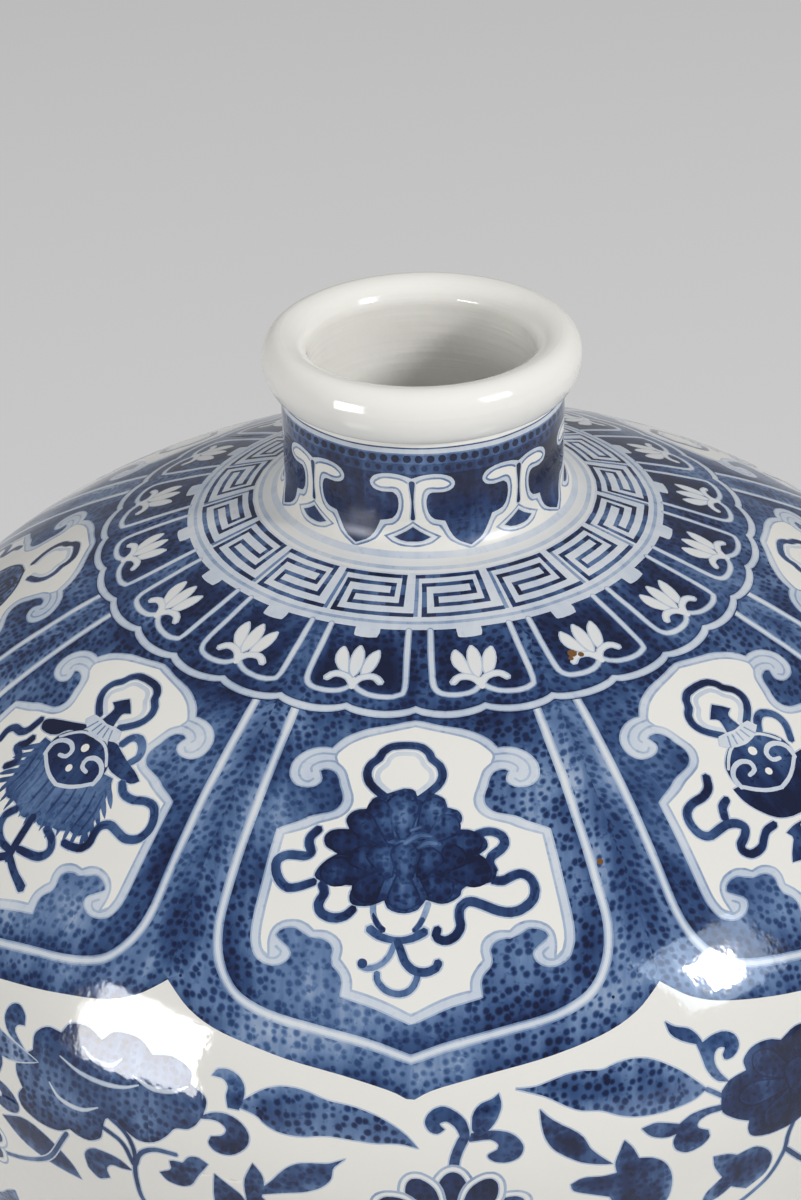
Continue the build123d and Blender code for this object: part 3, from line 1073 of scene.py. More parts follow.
def upper_scroll():
    """Quarter of the scroll just below the panels."""
    stems = (
        [(-26.6, 154), (-24.8, 156.4), (-24, 160), (-24.1, 166), (-23.4, 172), (-20, 178.5), (-14, 181.5),
         (-8, 180.6), (-2, 176), (1, 172)],
        [(-27.6, 156.6), (-25.2, 158.8), (-24.2, 163)],
        [(-24, 163), (-23.4, 160), (-22, 158.2), (-20, 158)],
        [(25, 147.4), (26.4, 149.6)],
        [(33.6, 159.4), (32.9, 163), (32.5, 167), (30.6, 172.4), (26, 176.8), (17, 180.8), (8, 179.4),
         (3.4, 172)],
        [(32.7, 166), (36, 172.5), (42, 176.5), (50, 176.5), (56, 171), (59, 162)],
    )
    big_leaves = (
        curve(
            [(-15.2, 145.6), (-14, 144.4), (-12.8, 142.6), (-11.5, 141.4), (-10, 141.1), (-8.5, 141.6),
             (-7, 142.6), (-5, 143.2), (-3.4, 144.3), (-2, 145.8), (-0.6, 148), (0.5, 150.7)],
            [(-1, 149.9), (-3, 149.9), (-5, 149.4), (-7, 149), (-9, 149.6), (-10.8, 149.4), (-12, 148.4),
             (-13, 146.8), (-15.2, 145.6)],
        ),
        curve(
            [(8.6, 140.8), (10.2, 140.8), (11.6, 140.1), (13, 139.4), (14.4, 139.2), (16, 139.6),
             (17.4, 138.9), (18.8, 138.7), (20.4, 139.5), (22, 141.5), (23.4, 143.8), (25, 147.2)],
            [(24, 148.4), (22.6, 149), (20.6, 149.3), (18.6, 149), (17, 148), (15.6, 146.6), (14, 146),
             (12.6, 144.6), (11, 142.6), (8.6, 140.8)],
        ),
    )
    small_leaves = (
        curve(
            [(10.5, 144.8), (11.2, 146.4), (12.2, 148), (13.2, 149.4), (14, 151), (14.6, 153.4),
             (15.6, 155.6), (16.5, 157.3)],
            [(15.4, 156.9), (14, 156), (12.8, 154.6), (11.6, 152.6), (10.9, 150.2), (10.6, 147.6),
             (10.5, 144.8)],
        ),
        curve(
            [(-13, 162), (-11.8, 159.6), (-10.6, 156.6), (-9.4, 155), (-8, 154.6), (-6.8, 154.4),
             (-5.4, 153.2)],
            [(-6.4, 155.2), (-6.6, 157.4), (-7.4, 159.4), (-8.8, 160.8), (-10.6, 161.6), (-13, 163)],
        ),
        curve(
            [(17.5, 153), (18.2, 154.8), (18.7, 157.2)],
            [(20, 158), (21.1, 160), (21.7, 163.5), (21.4, 168), (20, 171.5), (18.2, 173)],
            [(17.2, 169), (16.2, 164.6)],
            [(14.6, 163.2), (13.2, 161.8), (12.9, 160.2)],
            [(14, 159.2), (15.6, 159.6), (16.8, 159.4)],
            [(16.7, 157), (17.5, 153)],
        ),
        curve(
            [(25.4, 161.4), (26.8, 162), (27.7, 163)],
            [(29.4, 162.6), (30.8, 164.4), (31.4, 167), (30.8, 170), (29, 172)],
            [(27.4, 170)],
            [(26.2, 171.6), (24.6, 172.4)],
            [(25, 169.6), (26.4, 167)],
            [(25.6, 164), (25.4, 161.4)],
        ),
    )
    spears = (
        curve([(-13.9, 165), (-14, 160.4), (-13.2, 156.2)], [(-12.4, 158.6), (-12.4, 162), (-13, 165)]),
        curve(
            [(-16.6, 160.1), (-15.4, 162), (-14.3, 164), (-13.6, 168), (-14, 172)],
            [(-16, 171), (-16.8, 166), (-16.6, 160.1)],
        ),
        curve(
            [(-13.2, 162), (-12, 165), (-11.6, 169), (-12.6, 173)],
            [(-14, 170), (-14, 165), (-13.2, 162)],
        ),
        curve(
            [(-29, 168), (-29.2, 165), (-28.4, 163), (-27.2, 162.6), (-25.6, 163), (-24.4, 164.6)],
            [(-25.4, 165), (-26.4, 165), (-27, 166.4), (-26.8, 168.4)],
            [(-28, 169.6), (-29, 168)],
        ),
        curve(
            [(-38.8, 166), (-36, 163.6), (-33.4, 165), (-31, 168.6), (-30, 172)],
            [(-33.4, 171.4), (-36.6, 169.6), (-38.8, 166)],
        ),
    )
    commas = (
        curve(
            [(-14.4, 146.4), (-14, 143.8), (-14.2, 141.4), (-15.2, 139.8), (-16.4, 139.8), (-17, 141.2)],
            [(-16, 141.4), (-15.5, 142.6), (-15.6, 144.4), (-15.4, 146.4)],
        ),
        curve(
            [(-18.2, 149.6), (-16.8, 147.9), (-15.4, 147.6), (-14.2, 148.7), (-13.5, 150.8),
             (-13.7, 153.2), (-14.9, 155.3), (-16.2, 155.4), (-17, 154), (-16.8, 152.4)],
            [(-15.8, 151.8), (-15.5, 150.4), (-16.4, 149.2), (-18.2, 149.6)],
        ),
        curve(
            [(-35.4, 148.6), (-37.4, 147.2), (-38.3, 144.6), (-37.9, 141.9), (-36.9, 140.8), (-36, 142),
             (-35.8, 144)],
            [(-36.6, 144.6), (-36.8, 146), (-35.4, 148.6)],
        ),
        curve(
            [(-21.7, 163), (-21, 164.5), (-19.8, 164.9), (-18.8, 164), (-18.3, 162.2), (-17.7, 160.3),
             (-17.1, 158.4)],
            [(-17.9, 157.4), (-18.8, 157.8), (-19.4, 159.4)],
            [(-20.6, 159.7), (-20.6, 161.6), (-21.7, 163)],
        ),
        curve(
            [(22.2, 134), (23, 135.2), (24.2, 136.1), (24.9, 137.6), (25.2, 139)],
            [(26, 138.4), (27.2, 138.3), (28.2, 139.4), (28.5, 141.4), (27.9, 143), (27, 143.2),
             (26.8, 142.2)],
            [(27.1, 141.1), (26.5, 140.8), (26.1, 141.6), (26, 143.2), (26.4, 145.2), (27.2, 147.4)],
            [(26, 146.4), (25.2, 144), (24.9, 141.4), (24.6, 139)],
            [(23.4, 137.8), (22.5, 136.2), (22.2, 134)],
        ),
        curve(
            [(19, 151.5), (20.2, 151), (21.4, 151.7), (22.3, 152.4)],
            [(23.4, 151.2), (24.8, 150.9), (26.6, 151.2)],
            [(26.4, 152.2), (25, 152.2), (24.1, 152.9), (24, 154.2), (24.9, 155.3)],
            [(25, 156.8), (24.2, 158.2), (23, 158.7), (22, 157.6), (21.7, 155.8), (22, 154.3)],
            [(21, 154.4), (19.8, 153.4), (19, 151.5)],
        ),
    )
    left_bloom = curve(
        [(-34.6, 147.6), (-34.6, 144.6), (-33.4, 142.3), (-31.8, 142.2)],
        [(-31, 140), (-29.2, 139.2), (-27.6, 140.6)],
        [(-26.4, 138.4), (-24, 138.2), (-22.6, 140.2)],
        [(-20.6, 139.6), (-18.9, 141.2), (-18.8, 143.6)],
        [(-17.4, 145.4), (-17.4, 148), (-18, 150.6)],
        [(-18.8, 152), (-20, 152.6), (-20.8, 154.6), (-22, 156.6), (-23.4, 157.2), (-24.8, 156)],
        [(-25.6, 154.6), (-26.6, 155), (-27, 157.4)],
        [(-27.3, 159.6), (-28.4, 161.2), (-29.6, 161.3), (-30.6, 160.6)],
        [(-32, 162.2), (-34, 162.4), (-35.8, 161), (-36.3, 158.6), (-35.7, 156.4)],
        [(-36.4, 153.6), (-36.2, 150.6), (-34.6, 147.6)],
    )
    right_bloom = curve(
        [(26.3, 148.6), (27.2, 147), (28.8, 146.3)],
        [(28.7, 144.2), (29.8, 142.5), (31.4, 142.4), (32.6, 143.4)],
        [(34.2, 142.2), (36.2, 142.8), (37.2, 144.6)],
        [(39, 144.8), (40.5, 147), (40.4, 149.6)],
        [(41.2, 152), (40.8, 155), (39.4, 156.8)],
        [(38.8, 159), (36.8, 160.4), (34.6, 159.6)],
        [(33.4, 160.8), (31, 161), (29.2, 160), (28.7, 158.2), (28.8, 156.4)],
        [(27.4, 154.8), (26.2, 152.4), (26.3, 148.6)],
    )
    marks = []
    for places in stems:
        marks += soft_stroke(MID, 0.9, curve(places))
    marks += leaf((44, 143), (56, 149.5), 7.0, 3.0) + leaf((44, 165), (51, 155), 5.6, -1.2)
    marks += leaf((-8, 168), (-1.6, 176), 5.4, 1) + leaf((9.6, 163), (13, 175), 5.4, 1)
    for outline in big_leaves:
        marks += soft(LEAF, outline)
    for outline in small_leaves + spears + commas:
        marks += soft(SPRIG, outline)
    marks += soft(PETAL, left_bloom) + soft(NIGHT, right_bloom)
    folds = (
        [(-31.6, 146.4), (-29.4, 147.9), (-27, 148.3), (-25, 147.7), (-23.6, 146.4)],
        [(-24.2, 145), (-22.4, 146.2), (-20.4, 145.8), (-19, 144.2)],
        [(-32.6, 152.4), (-31.4, 154.8), (-29.2, 155.2), (-27.4, 153.4)],
        [(-29.4, 143), (-28.2, 144.6), (-26.4, 144.6), (-25.4, 142.8)],
    )
    for places in folds:
        marks += stroke(PALE, 1.0, curve(places), (0.3, 0.3))
        marks += stroke(BAND, 0.6, curve(places), (0.3, 0.3))
    tips = (
        (29.6, 144), (35.2, 143.8), (39.4, 147.6), (39.6, 154.6), (36.6, 158.8), (30.4, 158.8),
        (27.8, 151),
    )
    blades = [blade((34, 152), tip, 5) for tip in tips] + [blade((33.4, 155), (34, 147.6), 6)]
    for outline in blades:
        marks += fill(INK, outline) + fill(NIGHT, inset(outline, 0.35))
    marks += front_bud() + moved(front_bud(), 44.5, 10)
    return fringes_first(marks) + daisy(3, 170, 16.2, 2, 13) + daisy(45.8, 173.5, 11, 12)


def lower_scroll(down, radius, start):
    """Row of blooms on a winding stem: a peony and a daisy to each eighth of the turn."""
    turns = np.linspace(0, sector_turn, 25)
    winding = down + radius * 1.25 * np.sin(turns * 2 * np.pi / sector_turn)
    low = down + radius * 0.93
    high = down - radius * 0.93
    marks = soft_stroke(MID, 1.2, np.column_stack((turns, winding)))
    for base, tip, width, bend in (
        ((1.5, down + 2), (-4.5, down + 17), 8, 2.5), ((-1.5, down - 3), (4.5, down - 18), 8, 2.5),
        ((21, down + 3), (27, down + 18), 8, -2.5), ((24, down - 3), (18, down - 18), 8, -2.5),
        ((6, low), (1, low + 13), 6.5, 1), ((16.5, low), (21.5, low + 13), 6.5, -1),
        ((28.5, high), (23.5, high - 13), 6.5, -1), ((39, high), (44, high - 13), 6.5, 1),
        ((33.2, low), (27.6, low + 9), 5.6, 1.5), ((34.3, low), (39.9, low + 9), 5.6, -1.5),
    ):
        marks += leaf(base, tip, width, bend)
    marks += moved(front_bud(), 7.9, high - 156.5)
    marks = fringes_first(marks) + peony(sector_turn / 4, down + 1, radius, PETAL)
    marks += daisy(sector_turn * 3 / 4, down - 1, radius, 15, 11)
    return repeated(marks, sectors, start)


def foot_lappet():
    """Upright lappet above the foot."""
    frame_line = curve([(-10, 364), (-9.9, 345), (-9.4, 330), (-7, 322), (-3, 317), (0, 313)],
                       [(3, 317), (7, 322), (9.4, 330), (9.9, 345), (10, 364)])
    marks = fill(GROUND, frame_line) + stroke(PALE, 1.9, frame_line) + stroke(WHITE, 1.2, frame_line)
    reserve = curve([(0, 324), (2.4, 327.4), (5, 329.4), (6.2, 333), (4.6, 336), (5.6, 340), (6.4, 346),
                     (5.2, 352), (2.4, 355.4), (0, 357.6)])
    marks += fill(WHITE, mirrored(reserve)) + loop(PALE, 0.5, inset(mirrored(reserve), 1.2))
    marks += both(stroke(
        MID,
        1.1,
        curve([(0.2, 353), (2.2, 349), (3.6, 345.4), (2.6, 342.4), (1.2, 344)]),
    ))
    spear = curve([(0, 329.5), (2.2, 335), (2.4, 340), (0, 346)])
    marks += fill(DARK, mirrored(spear)) + stroke(MID, 1.1, [(0, 345), (0, 350), (0, 354.4)])
    return marks


def foot_bands():
    """Rings, upright lappets and a fret above the foot."""
    marks = ring(PALE, 302.4, 303.3) + ring(PALE, 305.4, 306.6)
    marks += ring(wash(0.74, 0.6), 318, 365)
    arch = curve([(-11.25, 306.8), (11.25, 306.8)], [(11.25, 326)], [(9, 321), (5, 316), (0, 311)],
                 [(-5, 316), (-9, 321), (-11.25, 326)])
    marks += repeated(fill(WHITE, arch), 2 * sectors)
    marks += repeated(foot_lappet(), 2 * sectors)
    marks += ring(WHITE, 365, 375) + ring(PALE, 366.4, 367.5) + ring(PALE, 370, 370.9)
    marks += key_fret(top=374, count=24)
    marks += ring(PALE, 386, 387) + ring(PALE, 398, 399) + ring(LINE, 401, 402.4)
    return marks


def kiln_specks():
    """Iron spots burnt through the glaze, and fine pits in it."""
    spots = (
        (29.6, 64.6, 0.9), (31, 65.4, 0.6), (28.8, 65.6, 0.5), (20.1, 105.3, 0.6), (-61, 118, 0.5),
        (117, 96, 0.6), (-140, 180, 0.5), (75, 210, 0.6),
    )
    pits = (
        (-14.6, 144.6), (-12.8, 145.6), (-21.4, 126), (-18.6, 132), (18, 128), (61, 128), (-78, 131),
    )
    marks = []
    for turn, down, radius in spots:
        marks += dot(RUST, turn, down, radius, 8)
    for turn, down in pits:
        marks += dot(INK, turn, down, 0.3, 7)
    return marks


def by_hand(marks):
    """The same marks with the slow wander of a brush that is held by hand."""
    noise.seed_set(hand_seed)
    drawn = []
    for outline, paint in marks:
        turn = np.radians(outline[:, 0])
        reach = outer_wall.radius(outline[:, 1]) * hand_scale
        spots = np.column_stack((reach * np.sin(turn), reach * np.cos(turn), outline[:, 1] * hand_scale))
        drift = np.array([noise.noise_vector(Vector(spot))[:2] for spot in spots]) * hand_wander
        drift[:, 0] /= degree(outline[:, 1])
        drawn.append((outline + drift, paint))
    return drawn


def clipped(outline, axis, limit, keep_above):
    """Part of a closed outline on one side of a line of the chart."""
    sign = 1 if keep_above else -1
    over = sign * (outline[:, axis] - limit)
    if (over >= 0).all():
        return outline
    if (over <= 0).all():
        return outline[:0]
    kept = []
    for here, there, now, later in zip(outline, np.roll(outline, -1, axis=0), over, np.roll(over, -1)):
        if now >= 0:
            kept.append(here)
        if now * later < 0:
            spot = here + (there - here) * now / (now - later)
            spot[axis] = limit
            kept.append(spot)
    return np.array(kept)


def on_section(marks, top, bottom):
    """Marks that fall on a section, cut at its seams and at the back of the vase."""
    found = []
    for outline, paint in marks:
        if outline[:, 1].max() < top or outline[:, 1].min() > bottom:
            continue
        for turn in (-360, 0, 360):
            piece = outline + (turn, 0)
            if piece[:, 0].max() <= -180 or piece[:, 0].min() >= 180:
                continue
            for axis, limit, above in ((0, -180, True), (0, 180, False), (1, top, True), (1, bottom, False)):
                if len(piece):
                    piece = clipped(piece, axis, limit, above)
            if len(piece) > 2:
                found.append((piece, paint, outline + (turn, 0)))
    return found


def off_edge(spots, outline):
    """Distances in millimetres from spots on the chart to an outline."""
    scale = degree(spots[:, 1])[:, None]
    start = outline[None] - spots[:, None]
    step = (np.roll(outline, -1, axis=0) - outline)[None]
    across, along = start[..., 0] * scale, start[..., 1]
    wide, high = step[..., 0] * scale, np.broadcast_to(step[..., 1], across.shape)
    share = -(across * wide + along * high) / np.maximum(wide * wide + high * high, tiny)
    share = np.clip(share, 0, 1)
    return np.hypot(across + share * wide, along + share * high).min(axis=1)


def inside(spots, outline):
    """Which of the spots an outline winds round."""
    x, y = spots[:, 0, None], spots[:, 1, None]
    x0, y0 = outline[:, 0], outline[:, 1]
    x1, y1 = np.roll(x0, -1), np.roll(y0, -1)
    side = (x1 - x0) * (y - y0) - (x - x0) * (y1 - y0)
    rising = (y0 <= y) & (y1 > y) & (side > 0)
    falling = (y0 > y) & (y1 <= y) & (side < 0)
    return (rising.sum(axis=1) - falling.sum(axis=1)) != 0


Run = namedtuple("Run", "points down bare", defaults=(False,))


def chart_net(runs, starts, outlines, shift, columns, row_step, hollow_step):
    """Spots of a mesh on the chart, in rows that leave room beside the outlines, and the edges to keep."""
    drawn = np.vstack(outlines) if outlines else np.zeros((0, 2))
    tree = kdtree.KDTree(len(drawn))
    for index, (across, along) in enumerate(zip(drawn[:, 0] * degree(drawn[:, 1] - shift), drawn[:, 1])):
        tree.insert((across, along, 0), index)
    tree.balance()

    spots = []
    edges = []
    turns = np.linspace(-180, 180, columns + 1)
    front = columns // 2
    last_in_front = None
    for index, run in enumerate(runs):
        is_painted = run.down is not None
        far = lengths_along(run.points)[-1]
        way = np.unwrap(np.arctan2(*np.diff(run.points, axis=0).T))
        bend = np.abs(np.diff(way)).sum()
        step = row_step if is_painted else hollow_step
        rows = max(math.ceil(far / step), math.ceil(bend / row_bend), 1)
        is_last = index == len(runs) - 1
        for row in range(rows + (1 if is_last else 0)):
            along = starts[index] + far * row / rows
            bound = row == 0 or row == rows
            before = None
            crowded = len(drawn) and is_painted and not bound
            scale = float(degree(along - shift))
            for column, turn in enumerate(turns):
                free = not crowded or column in (0, front, columns)
                if not free and tree.find((turn * scale, along, 0))[2] < clearance:
                    continue
                spots.append((turn, along))
                here = len(spots) - 1
                if bound and before is not None:
                    edges.append((before, here))
                before = here
                if column == front:
                    if last_in_front is not None:
                        edges.append((last_in_front, here))
                    last_in_front = here
    for outline in outlines:
        first = len(spots)
        size = len(outline)
        spots.extend(map(tuple, outline))
        edges.extend((first + step, first + (step + 1) % size) for step in range(size))
    return spots, edges


def washes(chart, faces, middle, outlines, marks, shift):
    """Strength of the cobalt at the corners of the faces, and the dots and the iron of each face."""
    strength = np.zeros(faces.shape)
    extras = np.zeros((len(faces), 2))
    order = np.argsort(middle[:, 0])
    sorted_turns = middle[order, 0]
    for outline, (_, paint, whole) in zip(outlines, marks):
        low, high = outline.min(axis=0), outline.max(axis=0)
        reach = order[np.searchsorted(sorted_turns, low[0]):np.searchsorted(sorted_turns, high[0])]
        reach = reach[(middle[reach, 1] > low[1]) & (middle[reach, 1] < high[1])]
        if not len(reach):
            continue
        reach = reach[inside(middle[reach], outline)]
        strength[reach] = paint.edge
        extras[reach] = (paint.dots, paint.iron)
        if paint.depth and len(reach):
            ends, back = np.unique(faces[reach], return_inverse=True)
            share = np.clip(off_edge(chart[ends] - (0, shift), whole) / paint.depth, 0, 1)
            share = share * share * (3 - 2 * share)
            strength[reach] = (paint.edge + (paint.heart - paint.edge) * share)[back].reshape(-1, 3)
    return strength, extras


def wall_normals(runs, starts, owner, corners):
    """Normals of the turned walls at the corners of the faces."""
    slope = np.zeros(corners.shape)
    for index, run in enumerate(runs):
        far = starts[index] + lengths_along(run.points)
        if len(run.points) > 2:
            along = np.gradient(run.points, far, axis=0)
        else:
            along = np.repeat(np.diff(run.points, axis=0), 2, axis=0)
        mine = owner == index
        for axis in (0, 1):
            slope[mine, :, axis] = np.interp(corners[mine, :, 1], far, along[:, axis])
    slope /= np.linalg.norm(slope, axis=2)[..., None]
    outward, upward = slope[..., 1], slope[..., 0]
    swing = np.radians(corners[..., 0] + panel_turn)
    return np.stack((-outward * np.sin(swing), outward * np.cos(swing), upward), axis=-1)


def chart_places(corners, middle, radius, shift):
    """Map in millimetres along the wall, for the brushwork. Each sector has a place of its own on it."""
    sector = np.floor((middle[:, 0] + sector_turn / 2) / sector_turn)[:, None] * sector_turn
    across = (corners[..., 0] - sector) * radius * math.pi / 180 + sector * sector_shift
    return np.stack((across, corners[..., 1] - shift), axis=-1)


def turned(name, runs, columns, marks=(), row_step=2.4, hollow_step=6.0):
    """Mesh turned round the axis from runs of a profile, with the marks as edges in its outer wall."""
    starts = np.concatenate(([0], np.cumsum([lengths_along(run.points)[-1] for run in runs])))
    painted = [index for index, run in enumerate(runs) if run.down is not None]
    shift = starts[painted[0]] - runs[painted[0]].down if painted else 0.0
    outlines = [mark[0] + (0, shift) for mark in marks]

    spots, edges = chart_net(runs, starts, outlines, shift, columns, row_step, hollow_step)
    found = geometry.delaunay_2d_cdt([Vector(spot) for spot in spots], edges, [], 0, join_slack, False)
    chart = np.array([tuple(spot) for spot in found[0]])
    faces = np.array(found[2])[:, ::-1]
    middle = chart[faces].mean(axis=1)
    strength, extras = washes(chart, faces, middle, outlines, marks, shift)

    profile = np.vstack([run.points for run in runs])
    far = np.concatenate([start + lengths_along(run.points) for start, run in zip(starts, runs)])
    radius = np.interp(chart[:, 1], far, profile[:, 0])
    height = np.interp(chart[:, 1], far, profile[:, 1])
    angle = np.radians(chart[:, 0] + panel_turn)
    points = np.column_stack((radius * np.sin(angle), -radius * np.cos(angle), height)) * MM
    keys = np.round(points / (weld * MM)).astype(np.int64)
    _, first, merged = np.unique(keys, axis=0, return_index=True, return_inverse=True)
    welded = merged.ravel()[faces]
    sound = (welded != np.roll(welded, 1, axis=1)).all(axis=1)
    corners, middle = chart[faces[sound]], middle[sound]

    mesh = bpy.data.meshes.new(name)
    mesh.from_pydata(points[first].tolist(), [], welded[sound].tolist())
    owner = np.clip(np.searchsorted(starts, middle[:, 1], side="right") - 1, 0, len(runs) - 1)
    is_painted = np.isin(owner, painted)
    for label, domain, values in (
        ("wash", "CORNER", strength[sound].ravel()),
        ("dots", "FACE", extras[sound, 0]),
        ("iron", "FACE", extras[sound, 1]),
        ("hollow", "FACE", np.where(is_painted, 0.0, 1.0)),
    ):
        layer = mesh.attributes.new(label, "FLOAT", domain)
        layer.data.foreach_set("value", values.astype(np.float32))
    corner_radius = np.interp(corners[..., 1], far, profile[:, 0])
    for label, places in (
        ("Chart", chart_places(corners, middle, corner_radius, shift)),
        ("OFBake", bake_places(corners, middle, is_painted, starts, painted)),
    ):
        mesh.uv_layers.new(name=label).data.foreach_set("uv", places.ravel().astype(np.float32))
    is_bare = np.array([run.bare for run in runs])[owner]
    mesh.polygons.foreach_set("material_index", is_bare.astype(np.int32))
    mesh.shade_smooth()
    mesh.normals_split_custom_set(wall_normals(runs, starts, owner, corners).reshape(-1, 3).tolist())

    piece = bpy.data.objects.new(name, mesh)
    bpy.context.collection.objects.link(piece)
    return piece


def bake_places(corners, middle, is_painted, starts, painted):
    """Map for baking: the outer wall in two rows of half a turn, and the rest in a strip above them."""
    low, high = (starts[painted[0]], starts[painted[-1] + 1]) if painted else (0.0, 0.0)
    wall = high - low
    turns, along = corners[..., 0], corners[..., 1]
    right = (middle[:, 0] > 0)[:, None]
    half = np.where(right, turns, turns + 180) / 180
    row = np.where(right, bake_upper_row, bake_edge)
    share = (along - low) / max(wall, tiny)
    outer = np.stack((bake_edge + bake_width * half, row + bake_row * share), axis=-1)
    across = bake_edge + bake_width * (turns + 180) / 360
    strip = bake_strip if painted else bake_edge
    share = np.where(along >= high - tiny, along - wall, along) / max(starts[-1] - wall, tiny)
    rest = np.stack((across, strip + (1 - bake_edge - strip) * share), axis=-1)
    return np.where(is_painted[:, None, None], outer, rest)


def outer_runs(top, bottom):
    return [Run(points, down) for points, down in outer_wall.cut(top, bottom)]


def inner_runs(low, high):
    return [Run(points, None) for points, _ in inner_wall.cut(low, high)]


def rim(height, way):
    """Faces of a section's rim: a lower one from the outer wall with way 1, an upper one to it with -1."""
    outer = outer_wall.at_height(height)
    lip = outer - (slip_cover, 0)
    step = lip + (0, way * half_slip)
    inner = inner_wall.at_height(height + way * half_slip)
    path = [outer, lip, step, inner][::way]
    return [Run(np.array(pair), None) for pair in zip(path, path[1:])]


def between(low, high):
    """Closed profile of the section between two seams."""
    runs = outer_runs(outer_wall.distance(high), outer_wall.distance(low)) + rim(low, 1)
    start = inner_wall.distance(low + half_slip)
    end = inner_wall.distance(high - half_slip)
    return runs + inner_runs(start, end) + rim(high, -1)


def neck_runs():
    """Closed profile of the neck section."""
    low = seams["neck"]
    runs = outer_runs(0, outer_wall.distance(low)) + rim(low, 1)
    return runs + inner_runs(inner_wall.distance(low + half_slip), inner_wall.far[-1])


def foot_runs():
    """Closed profile of the foot section, which is bare where it stands."""
    high = seams["foot"]
    runs = inner_runs(0, inner_wall.distance(high - half_slip)) + rim(high, -1)
    runs += outer_runs(outer_wall.distance(high), outer_wall.far[-1])
    runs[-1] = runs[-1]._replace(bare=True)
    below = [Run(points, None) for points, _ in underside.cut(0, underside.far[-1])]
    below[0] = below[0]._replace(bare=True)
    return runs + below


def slip_runs(height, ridged):
    """Profile of a slip ring: the tongue in the seam, and the ridge that it leaves inside."""
    outer = outer_wall.at_height(height) - (slip_cover, 0)
    top = outer + (0, half_slip)
    bottom = outer - (0, half_slip)
    under = inner_wall.at_height(bottom[1])
    over = inner_wall.at_height(top[1])
    runs = [np.array((top, bottom)), np.array((bottom, under))]
    if ridged:
        wall = inner_wall.at_height(height)
        arc = ellipse(wall, ridge_depth, ridge_height / 2, 270, 90)
        arc[0] = inner_wall.at_height(height - ridge_height / 2)
        arc[-1] = inner_wall.at_height(height + ridge_height / 2)
        runs += [np.array((under, arc[0])), arc, np.array((arc[-1], over))]
    else:
        runs.append(np.array((under, over)))
    runs.append(np.array((over, top)))
    return [Run(points, None) for points in runs]


# Colours of the materials, from thin cobalt to thick, and from warm biscuit to pale
cobalt_tones = (
    (0.00, (0.835, 0.820, 0.775)),
    # Darker white that the painted shade below the neck reaches, and the faintest washes
    (0.05, (0.725, 0.712, 0.672)),
    (0.13, (0.620, 0.650, 0.685)),
    (0.26, (0.390, 0.465, 0.580)),
    (0.45, (0.115, 0.190, 0.345)),
    (0.62, (0.032, 0.074, 0.186)),
    (0.80, (0.008, 0.023, 0.088)),
    (1.00, (0.003, 0.007, 0.034)),
)
iron_tone = (0.16, 0.075, 0.022)
biscuit_tones = (
    (0.3, (0.62, 0.50, 0.37)),
    (0.7, (0.74, 0.67, 0.57)),
)


class Shading:
    """Nodes of a material or a world, and the links between them."""

    def __init__(self, owner):
        owner.use_nodes = True
        self.nodes = owner.node_tree.nodes
        self.links = owner.node_tree.links

    def node(self, kind, **values):
        made = self.nodes.new(kind)
        for key, value in values.items():
            setattr(made, key, value)
        return made

    def put(self, value, socket):
        """Give a socket a fixed number, or the output of a node."""
        if isinstance(value, (int, float)):
            socket.default_value = value
        else:
            self.links.new(value, socket)

    def math(self, operation, first, second, clamp=False):
        made = self.node("ShaderNodeMath", operation=operation, use_clamp=clamp)
        self.put(first, made.inputs[0])
        self.put(second, made.inputs[1])
        return made.outputs[0]

    def map_range(self, value, low, high, to_low, to_high, smooth=False):
        made = self.node("ShaderNodeMapRange", interpolation_type="SMOOTHSTEP" if smooth else "LINEAR")
        self.put(value, made.inputs["Value"])
        self.put(low, made.inputs["From Min"])
        self.put(high, made.inputs["From Max"])
        self.put(to_low, made.inputs["To Min"])
        self.put(to_high, made.inputs["To Max"])
        return made.outputs["Result"]

    def noise(self, vector, scale, detail=2.0, flat=False):
        made = self.node("ShaderNodeTexNoise", noise_dimensions="2D" if flat else "3D")
        self.put(vector, made.inputs["Vector"])
        made.inputs["Scale"].default_value = scale
        made.inputs["Detail"].default_value = detail
        return made.outputs["Fac"]

    def scaled(self, vector, scale):
        made = self.node("ShaderNodeMapping")
        made.inputs["Scale"].default_value = scale
        self.put(vector, made.inputs["Vector"])
        return made.outputs["Vector"]

    def ramp(self, value, stops):
        made = self.node("ShaderNodeValToRGB")
        self.put(value, made.inputs["Fac"])
        elements = made.color_ramp.elements
        while len(elements) < len(stops):
            elements.new(0.5)
        for element, (position, colour) in zip(elements, stops):
            element.position = position
            element.color = (*colour, 1)
        return made.outputs["Color"]

    def bump(self, relief, strength, distance):
        made = self.node("ShaderNodeBump")
        made.inputs["Strength"].default_value = strength
        made.inputs["Distance"].default_value = distance
        self.put(relief, made.inputs["Height"])
        return made.outputs["Normal"]

    def heights(self, vector):
        made = self.node("ShaderNodeSeparateXYZ")
        self.put(vector, made.inputs["Vector"])
        return made.outputs["Z"]

    def attribute(self, label):
        return self.node("ShaderNodeAttribute", attribute_name=label).outputs["Fac"]

    def places(self, label):
        return self.node("ShaderNodeTexCoord").outputs[label]


def cobalt_dots(tree, chart):
    """Round dots of heaped cobalt, scattered over the chart."""
    cells = tree.node("ShaderNodeTexVoronoi", voronoi_dimensions="2D", feature="F1")
    tree.put(chart, cells.inputs["Vector"])
    cells.inputs["Scale"].default_value = 0.60
    cells.inputs["Randomness"].default_value = 0.78
    chance = tree.node("ShaderNodeSeparateColor")
    tree.put(cells.outputs["Color"], chance.inputs["Color"])
    size = tree.map_range(chance.outputs["Red"], 0.0, 1.0, -0.10, 0.08)
    spread = tree.math("SUBTRACT", cells.outputs["Distance"], size)
    return tree.map_range(spread, 0.12, 0.48, 1.0, 0.0, smooth=True)


